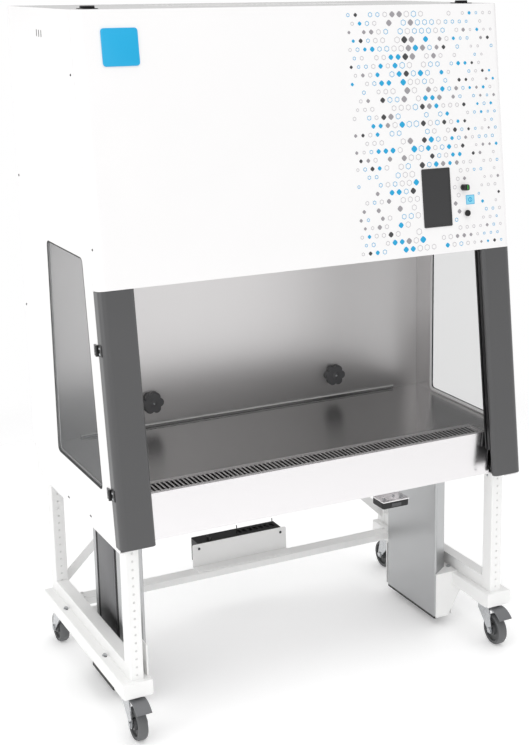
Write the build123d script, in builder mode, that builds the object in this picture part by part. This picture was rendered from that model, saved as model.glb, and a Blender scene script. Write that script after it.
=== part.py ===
"""Class II biological safety cabinet on a castored, height-adjustable stand.

Millimetres, +Z up, origin on the floor under the middle of the object.
The operator stands at -Y, and the front skin leans back from the foot to the top.
Side parts are drawn for the right-hand side (+X) and mirrored for the left.
"""
from build123d import *
import os
from math import cos, radians, sin, tan

os.makedirs("parts", exist_ok=True)

# Cabinet envelope
cabinet_width = 1340.0
cabinet_depth = 815.0
cabinet_bottom = 600.0
cabinet_top = 2068.0
rear_y = 394.0
front_lean = 7.24
panel_sheet = 3.0
seam = 1.0

# Rear lower corner, cut back above the stand
rear_cut_height = 125.5
rear_cut_depth = 129.7

# Front skin, folded round to the sides
skin_sheet = 2.5
corner_radius = 20.0
return_depth = 47.0
foot_gap = 11.3
panel_bottom = 1328.0
panel_lip = 16.0
front_hinge_left = 53.0
front_hinge_right = 102.0
front_hinge_length = 40.0

# Pillar covers beside the opening
pillar_width = 103.0
pillar_inner_return = 15.0
pillar_inner_radius = 14.0
hinge_heights = (765.0, 1166.0)
hinge_length = 31.0
hinge_leaf = 30.0
hinge_sheet = 2.5
hinge_pin = 5.0
knuckle = 9.0
pin_fit = 0.05
leaf_fit = 0.3

# Side windows
window_bottom = 746.5
window_top = 1400.0
window_rear = 127.2
window_front_inset = 120.0
window_corner = 20.0
glass = 6.0
glass_fit = 0.4

# Work chamber
worktop_height = 743.4
sill_width = 101.0
liner_sheet = 2.4
apron_setback = 65.5
back_gap = 172.0
upstand = 10.0
ceiling = 1432.0
tub_sheet = 3.0
ledge_width = 24.0
ledge_leg = 31.0
apron_return = 10.0
fit = 0.5

# Front air grille and the rear row of holes
grille_depth = 88.0
slot_pitch = 14.0
slot_width = 8.5
slot_length = 60.0
slot_lead = 8.0
hole_pitch = 10.0
hole_size = 4.5
hole_row_gap = 18.0
hole_rear_margin = 14.0

# Sliding sash and its guides
sash_depth = 32.0
sash_overlap = 15.0
sash_hidden = 8.0
sash_corner = 6.0
sash_height = 640.0
guide_width = 25.0
guide_front = 18.0
guide_back = 46.0
guide_slot_fit = 0.6
guide_slot_gap = 2.0
guide_web = 3.0
guide_bottom = 690.0
guide_top = 2030.0
closing_sheet = 3.0

# Filters, air box and fans
filter_height = 98.0
filter_setback = 101.74
air_box_sheet = 3.0
air_box_step = 15.0
air_box_top = 1900.0
air_box_gap = 3.0
exhaust_width = 620.0
exhaust_depth = 300.0
exhaust_bridge = 20.0
exhaust_slot = 8.0
exhaust_pitch = 18.0
fan_x = 310.0
fan_height = 1715.0
fan_diameter = 260.0
fan_inlet = 170.0
fan_width = 84.0
fan_gap = 4.0
fan_blades = 7
fan_sheet = 2.5
motor_diameter = 92.0
motor_length = 46.0
motor_plate = 6.0
motor_arm = 14.0
motor_arm_overlap = 15.0
shaft_diameter = 12.0
blade_root_radius = 62.0
blade_sweep = 48.0
blade_bow = 0.4
fan_hub_diameter = 40.0
fan_hub_length = 28.0
filter_frame = 24.0
filter_recess = 10.0
lamp_end_gap = 14.0
lamp_width = 36.0
lamp_height = 20.0
lamp_bottom = 1440.0
lamp_tube = 16.0
lamp_plate = 2.0
lamp_plate_gap = 3.0
lamp_plate_reach = 55.0

# Display and controls on the front skin
display_inset = 258.0
display_height = 1497.5
display_width = 100.0
display_length = 177.0
display_bezel = 2.0
display_body = 18.0
display_margin = 6.0
display_corner = 4.0
knob_inset = 162.0
knob_height = 1521.5
knob_diameter = 19.0
knob_length = 27.0
knob_chamfer = 1.5
button_inset = 153.0
button_height = 1443.0
button_diameter = 19.0
button_travel = 3.0
button_rise = 5.0
button_round = 2.0
stem_diameter = 12.0
stem_length = 16.0
grip_flats = 3.0

# Ports in the back wall
port_x = 330.5
port_height = 825.0
port_spigot = 30.0
port_spigot_length = 16.0
port_cap = 72.0
port_cap_depth = 24.0
port_cap_round = 3.0
port_lobes = 6

# Castor beams and rear crossbeam
beam_width = 89.2
beam_height = 46.9
beam_front_inset = 45.65
beam_rear_inset = 8.65
beam_bottom = 139.5
beam_inset = 45.8
beam_wall = 3.0
beam_corner = 4.0
leg_guide_inset = 5.5
leg_guide_step = 11.5
leg_guide_depth = 100.0
leg_guide_height = 98.6
leg_guide_sheet = 3.0
crossbeam_depth = 53.0
crossbeam_height = 25.0
crossbeam_inset = 136.85
tube_corner = 3.0

# Lifting columns
column_thickness = 61.1
column_half_inner = 164.0
column_half_outer = 120.0
column_wall = 5.0
column_gap = 1.0
column_bottom = 33.0
column_top = 590.0
column_corner = 6.0
groove_width = 18.0
groove_offset = 85.0
groove_depth = 3.0
inner_wall = 4.0
inner_bottom = 60.0
foot_height = 8.0
drive_width = 27.4
drive_half = 101.5
drive_top = 136.0
drive_corner = 8.0
drive_overlap = 1.0

# Folded brackets that carry the columns
bracket_sheet = 3.5
bracket_toe = 48.0
bracket_reach = 46.4
bracket_flange = 18.4
bracket_gap = 1.0

# Welded leg frames under the cabinet
leg_width = 40.0
leg_depth = 50.0
leg_inset = 49.4
leg_setback = 61.5
leg_wall = 3.0
rail_height = 40.0
rail_inset = 1.0
leg_hole = 7.0
leg_hole_pitch = 25.0
leg_hole_first = 202.0
leg_hole_margin = 12.0
leg_cap = 4.0
leg_cap_margin = 8.0
brace_width = 28.0
brace_sheet = 5.0
brace_foot_z = 205.0
brace_top_x = 232.0

# Castors
wheel_diameter = 100.0
wheel_width = 32.0
wheel_hub = 34.0
rim_depth = 12.0
rim_step = 2.0
web_inset = 9.0
tread_edge = 4.0
tread_shoulder = 7.0
castor_trail = 38.3
front_swivel_inset = 55.85
rear_swivel_inset = 52.55
fork_sheet = 4.0
fork_gap = 38.0
fork_crown = 70.0
fork_shoulder = 4.0
fork_brow = 22.0
fork_slant = 2.0
axle_diameter = 12.0
axle_nut = 9.6
axle_nut_height = 4.0
kingpin = 14.0
kingpin_tail = 3.0
castor_plate = 4.0
plate_margin = 2.5
plate_overlap = 7.0
plate_corner = 8.0
race_inset = 5.0
race_height = 2.2
race_gap = 0.3
pedal_width = 47.0
pedal_arm = 34.0
pedal_sheet = 3.0
pedal_reach = 99.0
pedal_tip_z = 106.0
pedal_pin = 6.0
pedal_pin_y = -27.0
pedal_pin_z = 120.0
pedal_ear = 6.0
pedal_web = 2.0
pedal_clear = 3.0

# Control box on the crossbeam, and the handset
tray_left = -173.0
tray_right = 181.0
tray_height = 82.0
tray_sheet = 2.5
tray_margin = 6.0
tray_corner = 6.0
box_margin = 20.0
box_depth = 62.0
box_height = 80.0
box_rise = 4.0
socket_count = 7
socket_size = 14.0
socket_depth = 6.0
socket_pitch = 21.0
handset_x = 245.5
handset_setback = 37.0
handset_width = 93.0
handset_depth = 70.0
handset_height = 21.0
handset_top = 568.0
handset_corner = 8.0
handset_round = 3.0
hanger_sheet = 3.0
rocker_width = 34.0
rocker_height = 12.0
rocker_depth = 7.0
rocker_rise = 2.0
rocker_pin = 3.0
rocker_round = 1.5
rocker_fit = 1.5

# Values worked out from the sizes above
half_width = cabinet_width / 2
pillar_foot = cabinet_bottom + foot_gap
front_foot_y = rear_y - cabinet_depth
slope = tan(radians(front_lean))
lean_cos = cos(radians(front_lean))
lean_sin = sin(radians(front_lean))
inner_side = half_width - panel_sheet
front_hinge_xs = (front_hinge_left - half_width, half_width - front_hinge_right)
worktop_width = cabinet_width - 2 * sill_width
apron_y = front_foot_y + apron_setback
back_wall_y = rear_y - back_gap
guide_inner = half_width - pillar_width
sash_edge = guide_inner + sash_overlap
air_box_side = inner_side - air_box_gap
lamp_plate_width = 2 * (guide_inner - lamp_plate_gap)
lamp_length = lamp_plate_width - 2 * lamp_end_gap
display_x = half_width - display_inset
knob_x = half_width - knob_inset
button_x = half_width - button_inset
beam_top = beam_bottom + beam_height
beam_centre_x = half_width - beam_inset
beam_inner = beam_centre_x - beam_width / 2
beam_front = front_foot_y + beam_front_inset
beam_rear = rear_y - beam_rear_inset
beam_length = beam_rear - beam_front
beam_centre_y = (beam_front + beam_rear) / 2
crossbeam_front = beam_rear - crossbeam_inset
column_outer_face = beam_inner - bracket_sheet
column_inner_face = column_outer_face - column_thickness
leg_centre = half_width - leg_inset
leg_front = front_foot_y + leg_setback
leg_guide_x = beam_inner + leg_guide_inset
leg_guide_front = leg_front + leg_guide_step
front_swivel_y = beam_front + front_swivel_inset
rear_swivel_y = beam_rear - rear_swivel_inset
handset_y = apron_y + handset_setback
wheel_radius = wheel_diameter / 2
liner_bottom = worktop_height - liner_sheet
filter_top = ceiling + filter_height


def front_y(z, depth=0.0):
    """Y of the leaning front skin at height z, or of a plane this far behind it."""
    return front_foot_y + (z - pillar_foot) * slope + depth / lean_cos


def lean_section(z):
    """Plane across the lean at height z: local x is X, local y runs in from the skin."""
    return Plane(origin=(0, front_y(z), z), x_dir=(1, 0, 0), z_dir=(0, lean_sin, lean_cos))


def skin_plane(x, z, depth=0.0):
    """Plane in the front skin at (x, z), facing the operator, this far behind it."""
    origin = (x, front_y(z) + depth * lean_cos, z - depth * lean_sin)
    return Plane(origin=origin, x_dir=(1, 0, 0), z_dir=(0, -lean_cos, lean_sin))


def lean_length(z_low, z_high):
    """Distance along the lean between two heights."""
    return (z_high - z_low) / lean_cos


inward = Axis((0, front_foot_y, pillar_foot), (0, lean_cos, -lean_sin))
filter_front = front_y(ceiling) + filter_setback
air_box_front = filter_front + air_box_step
lamp_plate_front = filter_front - lamp_plate_reach


def save(part, name):
    """Label a finished piece and write it as its own STEP file."""
    part.label = name
    export_step(part, f"parts/{name}.step")


def save_pair(part, name):
    """Write a right-hand piece and its mirror image."""
    save(part, f"right_{name}")
    save(mirror(part, about=Plane.YZ), f"left_{name}")


def trim_heights(z_low, z_high):
    """Keep what lies between two heights of the part in work."""
    split(bisect_by=Plane.XY.offset(z_low), keep=Keep.TOP)
    split(bisect_by=Plane.XY.offset(z_high), keep=Keep.BOTTOM)


# Castor beams: square tubes with the castor plates, ball races and kingpins welded under them.
# The left one has a thin guide plate standing on top beside the front leg
swivels = (front_swivel_y, rear_swivel_y)
race_bottom = beam_bottom - castor_plate - race_height
crown_top = race_bottom - race_gap
crown_bottom = crown_top - fork_sheet
kingpin_bottom = crown_bottom - kingpin_tail

with BuildPart() as castor_beam:
    with BuildSketch(Plane.XZ.offset(-beam_rear)):
        with Locations((beam_centre_x, beam_bottom + beam_height / 2)):
            RectangleRounded(beam_width, beam_height, beam_corner)
            Rectangle(beam_width - 2 * beam_wall, beam_height - 2 * beam_wall, mode=Mode.SUBTRACT)
    extrude(amount=beam_length)
    for end in (beam_front, beam_rear - beam_wall):
        with BuildSketch(Plane.XZ.offset(-end - beam_wall)):
            with Locations((beam_centre_x, beam_bottom + beam_height / 2)):
                RectangleRounded(beam_width, beam_height, beam_corner)
        extrude(amount=beam_wall)
    for swivel_y in swivels:
        with BuildSketch(Plane.XY.offset(beam_bottom)):
            with Locations((beam_centre_x, swivel_y)):
                RectangleRounded(beam_width - 2 * plate_margin, fork_crown + 2 * plate_overlap, plate_corner)
        extrude(amount=-castor_plate)
        with BuildSketch(Plane.XY.offset(beam_bottom - castor_plate)):
            with Locations((beam_centre_x, swivel_y)):
                Circle(fork_crown / 2 - race_inset)
        extrude(amount=-race_height)
        with BuildSketch(Plane.XY.offset(race_bottom)):
            with Locations((beam_centre_x, swivel_y)):
                Circle(kingpin / 2)
        extrude(amount=kingpin_bottom - race_bottom)
save(castor_beam.part, "right_castor_beam")

with BuildPart() as guided_beam:
    add(mirror(castor_beam.part, about=Plane.YZ))
    with BuildSketch(Plane.XY.offset(beam_top)):
        with Locations((-leg_guide_x, leg_guide_front + leg_guide_depth / 2)):
            Rectangle(leg_guide_sheet, leg_guide_depth)
    extrude(amount=leg_guide_height)
save(guided_beam.part, "left_castor_beam")

# Rear crossbeam: a flat tube between the two castor beams
with BuildPart() as rear_crossbeam:
    with BuildSketch(Plane.YZ.offset(-beam_inner)):
        with Locations((crossbeam_front + crossbeam_depth / 2, beam_top - crossbeam_height / 2)):
            RectangleRounded(crossbeam_depth, crossbeam_height, tube_corner)
            Rectangle(crossbeam_depth - 2 * beam_wall, crossbeam_height - 2 * beam_wall,
                      mode=Mode.SUBTRACT)
    extrude(amount=2 * beam_inner)
save(rear_crossbeam.part, "rear_crossbeam")


def column_section(inset):
    """Draw the column's section, this far inside its outer skin, in the sketch in work."""
    inner_x = column_inner_face + inset
    outer_x = column_outer_face - inset
    side_run = (column_half_inner - column_half_outer) / (column_outer_face - column_inner_face)
    side_inset = inset * (1 + side_run ** 2) ** 0.5
    inner_half = column_half_inner - side_inset - inset * side_run
    outer_half = column_half_outer - side_inset + inset * side_run
    with Locations((0, beam_centre_y)):
        Polygon((inner_x, -inner_half), (outer_x, -outer_half), (outer_x, outer_half),
                (inner_x, inner_half), align=None)


# Outer column tubes: aluminium extrusions with two grooves down the outer face
with BuildPart() as column_outer:
    with BuildSketch(Plane.XY.offset(column_bottom)) as outer_section:
        column_section(0)
        fillet(outer_section.vertices(), column_corner)
        for side in (-1, 1):
            with Locations((column_outer_face, beam_centre_y + side * groove_offset)):
                Rectangle(2 * groove_depth, groove_width, mode=Mode.SUBTRACT)
    extrude(amount=column_top - column_bottom)
    with BuildSketch(Plane.XY.offset(column_bottom)):
        column_section(column_wall)
    extrude(amount=column_top - column_bottom, mode=Mode.SUBTRACT)
save_pair(column_outer.part, "column_outer")

# Inner column tubes, hung from the cabinet and running inside the outer ones
inner_inset = column_wall + column_gap
with BuildPart() as column_inner:
    with BuildSketch(Plane.XY.offset(inner_bottom)):
        column_section(inner_inset)
    extrude(amount=cabinet_bottom - inner_bottom)
    with BuildSketch(Plane.XY.offset(inner_bottom)):
        column_section(inner_inset + inner_wall)
    extrude(amount=cabinet_bottom - inner_bottom - inner_wall, mode=Mode.SUBTRACT)
save_pair(column_inner.part, "column_inner")

# Lift drives: the black foot under each column and the gear housing beside it
with BuildPart() as lift_drive:
    with BuildSketch(Plane.XY.offset(column_bottom - foot_height)) as foot_section:
        column_section(0)
        fillet(foot_section.vertices(), column_corner)
    extrude(amount=foot_height)
    with BuildSketch(Plane.XY.offset(column_bottom - foot_height)):
        with Locations((beam_inner + drive_width / 2, beam_centre_y)):
            Rectangle(drive_width, 2 * drive_half)
    extrude(amount=drive_top - column_bottom + foot_height)
    fillet(lift_drive.edges().filter_by(Axis.Z).group_by(Axis.X)[-1], drive_corner)
    with BuildSketch(Plane.XY.offset(column_bottom - foot_height)):
        with Locations((beam_inner - bracket_sheet / 2, beam_centre_y)):
            Rectangle(bracket_sheet + 2 * drive_overlap, 2 * drive_half)
    extrude(amount=foot_height)
save_pair(lift_drive.part, "lift_drive")

# Lift brackets: one folded sheet with two gussets, a web on the beam and a flange on top of it
gusset_half = column_half_inner + bracket_gap + bracket_sheet
flange_edge = beam_inner + bracket_flange
gusset_outline = [
    (column_inner_face, column_bottom),
    (column_inner_face + bracket_toe, column_bottom),
    (beam_inner + bracket_reach, beam_bottom),
    (beam_inner, beam_bottom),
    (beam_inner, beam_top),
    (flange_edge, beam_top),
    (flange_edge, beam_top + bracket_sheet),
    (column_inner_face, beam_top + bracket_sheet),
]
with BuildPart() as lift_bracket:
    for near in (beam_centre_y - gusset_half, beam_centre_y + gusset_half - bracket_sheet):
        with BuildSketch(Plane.XZ.offset(-near - bracket_sheet)):
            Polygon(*gusset_outline, align=None)
        extrude(amount=bracket_sheet)
    with BuildSketch(Plane.XY.offset(column_bottom)):
        with Locations((beam_inner - bracket_sheet / 2, beam_centre_y)):
            Rectangle(bracket_sheet, 2 * gusset_half)
    extrude(amount=beam_top - column_bottom)
    with BuildSketch(Plane.XY.offset(beam_top)):
        with Locations(((column_inner_face + flange_edge) / 2, beam_centre_y)):
            Rectangle(flange_edge - column_inner_face, 2 * gusset_half)
    extrude(amount=bracket_sheet)
    with BuildSketch(Plane.XY.offset(column_bottom)):
        column_section(0)
    extrude(amount=cabinet_bottom, mode=Mode.SUBTRACT)
save_pair(lift_bracket.part, "lift_bracket")

# Leg frames: front leg, rear leg and lower rail welded into one frame, with a wedge-shaped head
# on the rear leg that fills the cut corner of the cabinet
leg_rear_front = beam_rear - leg_depth
leg_inner = leg_centre - leg_width / 2
cut_pitch = rear_cut_height / rear_cut_depth
head_start = rear_y - rear_cut_depth + fit * (1 + 1 / cut_pitch ** 2) ** 0.5
head_top = cabinet_bottom + (beam_rear - head_start) * cut_pitch
leg_starts = (leg_front, leg_rear_front)
hole_count = int((cabinet_bottom - leg_hole_margin - leg_hole_first) / leg_hole_pitch) + 1
with BuildPart() as leg_frame:
    for leg_y in leg_starts:
        with BuildSketch(Plane.XY.offset(beam_top)):
            with Locations((leg_centre, leg_y + leg_depth / 2)):
                RectangleRounded(leg_width, leg_depth, tube_corner)
        extrude(amount=cabinet_bottom - beam_top)
    with BuildSketch(Plane.XZ.offset(-leg_front - leg_depth)):
        with Locations((leg_centre, beam_top + rail_height / 2)):
            Rectangle(leg_width - 2 * rail_inset, rail_height)
    extrude(amount=leg_front + leg_depth - leg_rear_front)
    with BuildSketch(Plane.XY.offset(beam_top + leg_wall)):
        for leg_y in leg_starts:
            with Locations((leg_centre, leg_y + leg_depth / 2)):
                Rectangle(leg_width - 2 * leg_wall, leg_depth - 2 * leg_wall)
    extrude(amount=cabinet_bottom - beam_top - 2 * leg_wall, mode=Mode.SUBTRACT)
    for leg_y in leg_starts:
        with BuildSketch(Plane.XZ.offset(-leg_y)):
            for step in range(hole_count):
                with Locations((leg_centre, leg_hole_first + step * leg_hole_pitch)):
                    Circle(leg_hole / 2)
        extrude(amount=-leg_wall, mode=Mode.SUBTRACT)
    with BuildSketch(Plane.YZ.offset(leg_inner)):
        Polygon((head_start, cabinet_bottom), (beam_rear, cabinet_bottom), (beam_rear, head_top),
                align=None)
    extrude(amount=beam_centre_x + beam_width / 2 - leg_inner)
    with BuildSketch(Plane.XY.offset(cabinet_bottom)):
        with Locations((leg_centre, leg_front + leg_depth / 2)):
            Rectangle(leg_width + 2 * leg_cap_margin, leg_depth + 2 * leg_cap_margin)
    extrude(amount=-leg_cap)
save_pair(leg_frame.part, "leg_frame")

# Rear brace: crossbar between the heads of the rear legs, with a diagonal welded under each half
brace_run = 2 ** 0.5 * brace_width
with BuildPart() as rear_brace:
    with BuildSketch(Plane.YZ.offset(-leg_inner)):
        with Locations((leg_rear_front + leg_depth / 2, cabinet_bottom + rail_height / 2)):
            RectangleRounded(leg_depth, rail_height, tube_corner)
            Rectangle(leg_depth - 2 * leg_wall, rail_height - 2 * leg_wall, mode=Mode.SUBTRACT)
    extrude(amount=2 * leg_inner)
    with BuildSketch(Plane.XZ.offset(-leg_rear_front - leg_depth / 2)):
        for side in (-1, 1):
            Polygon((side * leg_inner, brace_foot_z), (side * leg_inner, brace_foot_z + brace_run),
                    (side * brace_top_x, cabinet_bottom), (side * (brace_top_x - brace_run), cabinet_bottom),
                    align=None)
    extrude(amount=brace_sheet)
save(rear_brace.part, "rear_brace")

# Castors: pressed fork on the kingpin, wheel on its axle, and a brake pedal on the front pair
fork_half = fork_gap / 2 + fork_sheet
shoulder_y = fork_crown / 2 - fork_shoulder
with BuildPart() as fork:
    with BuildSketch(Plane.XY.offset(crown_bottom)):
        Circle(fork_crown / 2)
    extrude(amount=fork_sheet)
    for side in (-1, 1):
        with BuildSketch(Plane.YZ.offset(side * (fork_gap + fork_sheet) / 2 - fork_sheet / 2)):
            with BuildLine():
                Polyline((shoulder_y, crown_bottom), (-shoulder_y, crown_bottom),
                         (-castor_trail - axle_diameter, wheel_radius + fork_slant))
                ThreePointArc((-castor_trail - axle_diameter, wheel_radius + fork_slant),
                              (-castor_trail, wheel_radius - axle_diameter),
                              (-castor_trail + axle_diameter, wheel_radius - fork_slant))
                Polyline((-castor_trail + axle_diameter, wheel_radius - fork_slant),
                         (shoulder_y, crown_bottom - fork_brow), (shoulder_y, crown_bottom))
            make_face()
        extrude(amount=fork_sheet)
    with BuildSketch(Plane.XY.offset(crown_top)):
        Circle(kingpin / 2 + pin_fit)
    extrude(amount=-fork_sheet, mode=Mode.SUBTRACT)
    with BuildSketch(Plane.YZ.offset(-fork_half)):
        with Locations((-castor_trail, wheel_radius)):
            Circle(axle_diameter / 2)
    extrude(amount=2 * fork_half)
    for side in (-1, 1):
        with BuildSketch(Plane.YZ.offset(side * fork_half)):
            with Locations((-castor_trail, wheel_radius)):
                RegularPolygon(axle_nut, 6)
        extrude(amount=side * axle_nut_height)

pedal_pin_plane = Plane.YZ.offset(-fork_gap / 2)
with BuildPart() as braked_fork:
    add(fork.part)
    with BuildSketch(pedal_pin_plane):
        with Locations((pedal_pin_y, pedal_pin_z)):
            Circle(pedal_pin / 2)
    extrude(amount=fork_gap)

with BuildPart() as wheel:
    with BuildSketch(Plane.XZ) as wheel_section:
        rim = wheel_radius - rim_depth
        hub = wheel_hub / 2
        bore = axle_diameter / 2 + pin_fit
        web = wheel_width / 2 - web_inset
        edge = wheel_width / 2 - rim_step
        shoulder = wheel_width / 2 - tread_shoulder
        with BuildLine():
            Polyline((bore, wheel_width / 2), (hub, wheel_width / 2), (hub + rim_step, web),
                     (rim - rim_step, web), (rim, edge), (wheel_radius - tread_edge, edge),
                     (wheel_radius, shoulder), (wheel_radius, -shoulder),
                     (wheel_radius - tread_edge, -edge), (rim, -edge), (rim - rim_step, -web),
                     (hub + rim_step, -web), (hub, -wheel_width / 2), (bore, -wheel_width / 2),
                     close=True)
        make_face()
    revolve(axis=Axis.Z)

with BuildPart() as pedal:
    tread_start = -fork_crown / 2 - pedal_clear
    ear_end = pedal_pin_y + pedal_ear
    arm_end = tread_start - pedal_web
    with BuildSketch(Plane.YZ.offset(-pedal_arm / 2)):
        with BuildLine():
            Polyline((ear_end, pedal_pin_z - pedal_web), (ear_end, pedal_pin_z + pedal_web),
                     (pedal_pin_y, pedal_pin_z + pedal_ear), (arm_end, pedal_pin_z + pedal_ear),
                     (arm_end, pedal_pin_z - pedal_web / 2), (pedal_pin_y, pedal_pin_z - pedal_ear),
                     close=True)
        make_face()
    extrude(amount=pedal_arm)
    with BuildSketch(Plane.YZ.offset(-pedal_width / 2)):
        with BuildLine() as tread_line:
            ThreePointArc((tread_start, pedal_pin_z + pedal_ear + pedal_web),
                          ((tread_start - pedal_reach) / 2, pedal_pin_z + pedal_ear - pedal_web / 2),
                          (-pedal_reach, pedal_tip_z))
            offset(amount=pedal_sheet, side=Side.LEFT)
        make_face()
    extrude(amount=pedal_width)
    with BuildSketch(Plane.YZ.offset(-fork_gap / 2)):
        with Locations((pedal_pin_y, pedal_pin_z)):
            Circle(pedal_pin / 2 + pin_fit)
    extrude(amount=fork_gap, mode=Mode.SUBTRACT)

for side_name, side in (("left", -1), ("right", 1)):
    for end_name, swivel_y, turn in (("front", front_swivel_y, 0), ("rear", rear_swivel_y, 180)):
        place = Location((side * beam_centre_x, swivel_y, 0), (0, 0, turn))
        castor_fork = braked_fork if end_name == "front" else fork
        save(castor_fork.part.moved(place), f"{side_name}_{end_name}_castor_fork")
        upright = Location((0, -castor_trail, wheel_radius), (0, 90, 0))
        save(wheel.part.moved(place * upright), f"{side_name}_{end_name}_wheel")
        if end_name == "front":
            save(pedal.part.moved(place), f"{side_name}_brake_pedal")

# Control box tray: a folded plate standing at the rear edge of the crossbeam
tray_wall_y = crossbeam_front + crossbeam_depth + seam
with BuildPart() as control_tray:
    with BuildSketch(Plane.YZ.offset(tray_left)):
        with BuildLine() as tray_line:
            Polyline((crossbeam_front + tray_margin, beam_top), (tray_wall_y + tray_sheet, beam_top),
                     (tray_wall_y + tray_sheet, beam_top + tray_height))
            offset(amount=tray_sheet, side=Side.LEFT)
        make_face()
    extrude(amount=tray_right - tray_left)
    corners = control_tray.edges().filter_by(Axis.Y).group_by(Axis.Z)[-1]
    fillet(corners, tray_corner)
save(control_tray.part, "control_tray")

# Control box: moulded case with a row of cable sockets in the right half of its lid
box_width = tray_right - tray_left - 2 * box_margin
box_x = (tray_left + tray_right) / 2
box_front = tray_wall_y + tray_sheet
with BuildPart() as control_box:
    with BuildSketch(Plane.XY.offset(beam_top + box_rise)):
        with Locations((box_x, box_front + box_depth / 2)):
            Rectangle(box_width, box_depth)
    extrude(amount=box_height)
    fillet(control_box.edges().filter_by(Axis.Z).group_by(Axis.Y)[-1], tray_corner)
    with BuildSketch(Plane.XY.offset(beam_top + box_rise + box_height)):
        for socket in range(socket_count):
            socket_x = box_x + box_width / 2 - box_margin - socket * socket_pitch
            with Locations((socket_x, box_front + box_depth / 2)):
                Rectangle(socket_size, 2 * socket_size)
    extrude(amount=-socket_depth, mode=Mode.SUBTRACT)
save(control_box.part, "control_box")

# Side panels: bent sheet with the window opening and a foot that turns in under the pillar
window_outline = [
    (window_rear, window_bottom),
    (window_rear, window_top),
    (front_y(window_top, window_front_inset), window_top),
    (front_y(window_bottom, window_front_inset), window_bottom),
]
panel_outline = [
    (rear_y, cabinet_bottom + rear_cut_height),
    (rear_y, cabinet_top),
    (front_y(cabinet_top, return_depth + seam), cabinet_top),
    (front_y(pillar_foot - seam, return_depth + seam), pillar_foot - seam),
    (front_y(pillar_foot - seam, corner_radius), pillar_foot - seam),
    (front_y(cabinet_bottom, corner_radius), cabinet_bottom),
    (rear_y - rear_cut_depth, cabinet_bottom),
]
with BuildPart() as side_panel:
    with BuildSketch(Plane.YZ.offset(inner_side)):
        Polygon(*panel_outline, align=None)
        with BuildSketch(mode=Mode.SUBTRACT) as opening:
            Polygon(*window_outline, align=None)
            fillet(opening.vertices(), window_corner)
    extrude(amount=panel_sheet)
    with BuildSketch(Plane.XY.offset(cabinet_bottom)):
        foot_front = front_y(cabinet_bottom, corner_radius)
        with Locations((half_width, foot_front)):
            Rectangle(pillar_width / 2, apron_y - foot_front - seam, align=(Align.MAX, Align.MIN))
    extrude(amount=panel_sheet)
save_pair(side_panel.part, "side_panel")

with BuildPart() as side_window:
    with BuildSketch(Plane.YZ.offset(half_width - glass)) as pane:
        Polygon(*window_outline, align=None)
        fillet(pane.vertices(), window_corner)
        offset(amount=-glass_fit, mode=Mode.REPLACE)
    extrude(amount=glass)
save_pair(side_window.part, "side_window")

# Top panel with two fields of exhaust slots, and the fixed hinge leaves of the front panel
top_front_y = front_y(cabinet_top, return_depth + seam)
exhaust_y = (top_front_y + rear_y) / 2
slot_count = int(exhaust_width / exhaust_pitch)
hinge_axis_y = top_front_y - seam / 2
hinge_axis_z = cabinet_top + knuckle / 2 + leaf_fit
leaf_start = knuckle / 2 + leaf_fit
with BuildPart() as top_panel:
    with BuildSketch(Plane.XY.offset(cabinet_top - panel_sheet)):
        with Locations((0, top_front_y)):
            Rectangle(2 * inner_side, rear_y - top_front_y, align=(Align.CENTER, Align.MIN))
        for side in (-1, 1):
            with Locations((0, exhaust_y + side * exhaust_depth / 4)):
                with GridLocations(exhaust_pitch, 1, slot_count, 1):
                    Rectangle(exhaust_slot, exhaust_depth / 2 - exhaust_bridge, mode=Mode.SUBTRACT)
    extrude(amount=panel_sheet)
    for hinge_x in front_hinge_xs:
        with BuildSketch(Plane.XY.offset(cabinet_top)):
            with Locations((hinge_x, hinge_axis_y + leaf_start)):
                Rectangle(front_hinge_length, hinge_leaf - leaf_start, align=(Align.CENTER, Align.MIN))
        extrude(amount=hinge_sheet)
        for start in (0, 2 / 3):
            with BuildSketch(Plane.YZ.offset(hinge_x + (start - 0.5) * front_hinge_length)):
                with Locations((hinge_axis_y, hinge_axis_z)):
                    Circle(knuckle / 2)
                with Locations((hinge_axis_y, cabinet_top)):
                    Rectangle(leaf_start + seam, hinge_sheet, align=(Align.MIN, Align.MIN))
            extrude(amount=front_hinge_length / 3)
        with BuildSketch(Plane.YZ.offset(hinge_x - front_hinge_length / 2)):
            with Locations((hinge_axis_y, hinge_axis_z)):
                Circle(hinge_pin / 2)
        extrude(amount=front_hinge_length)
save(top_panel.part, "top_panel")

# Rear panel: one sheet, folded in at the cut corner
with BuildPart() as rear_panel:
    with BuildSketch(Plane.YZ.offset(-inner_side)):
        with BuildLine():
            Polyline((rear_y, cabinet_top - panel_sheet), (rear_y, cabinet_bottom + rear_cut_height),
                     (rear_y - rear_cut_depth, cabinet_bottom))
            offset(amount=panel_sheet, side=Side.RIGHT)
        make_face()
    extrude(amount=2 * inner_side)
    trim_heights(cabinet_bottom, cabinet_top - panel_sheet)
save(rear_panel.part, "rear_panel")

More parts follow.
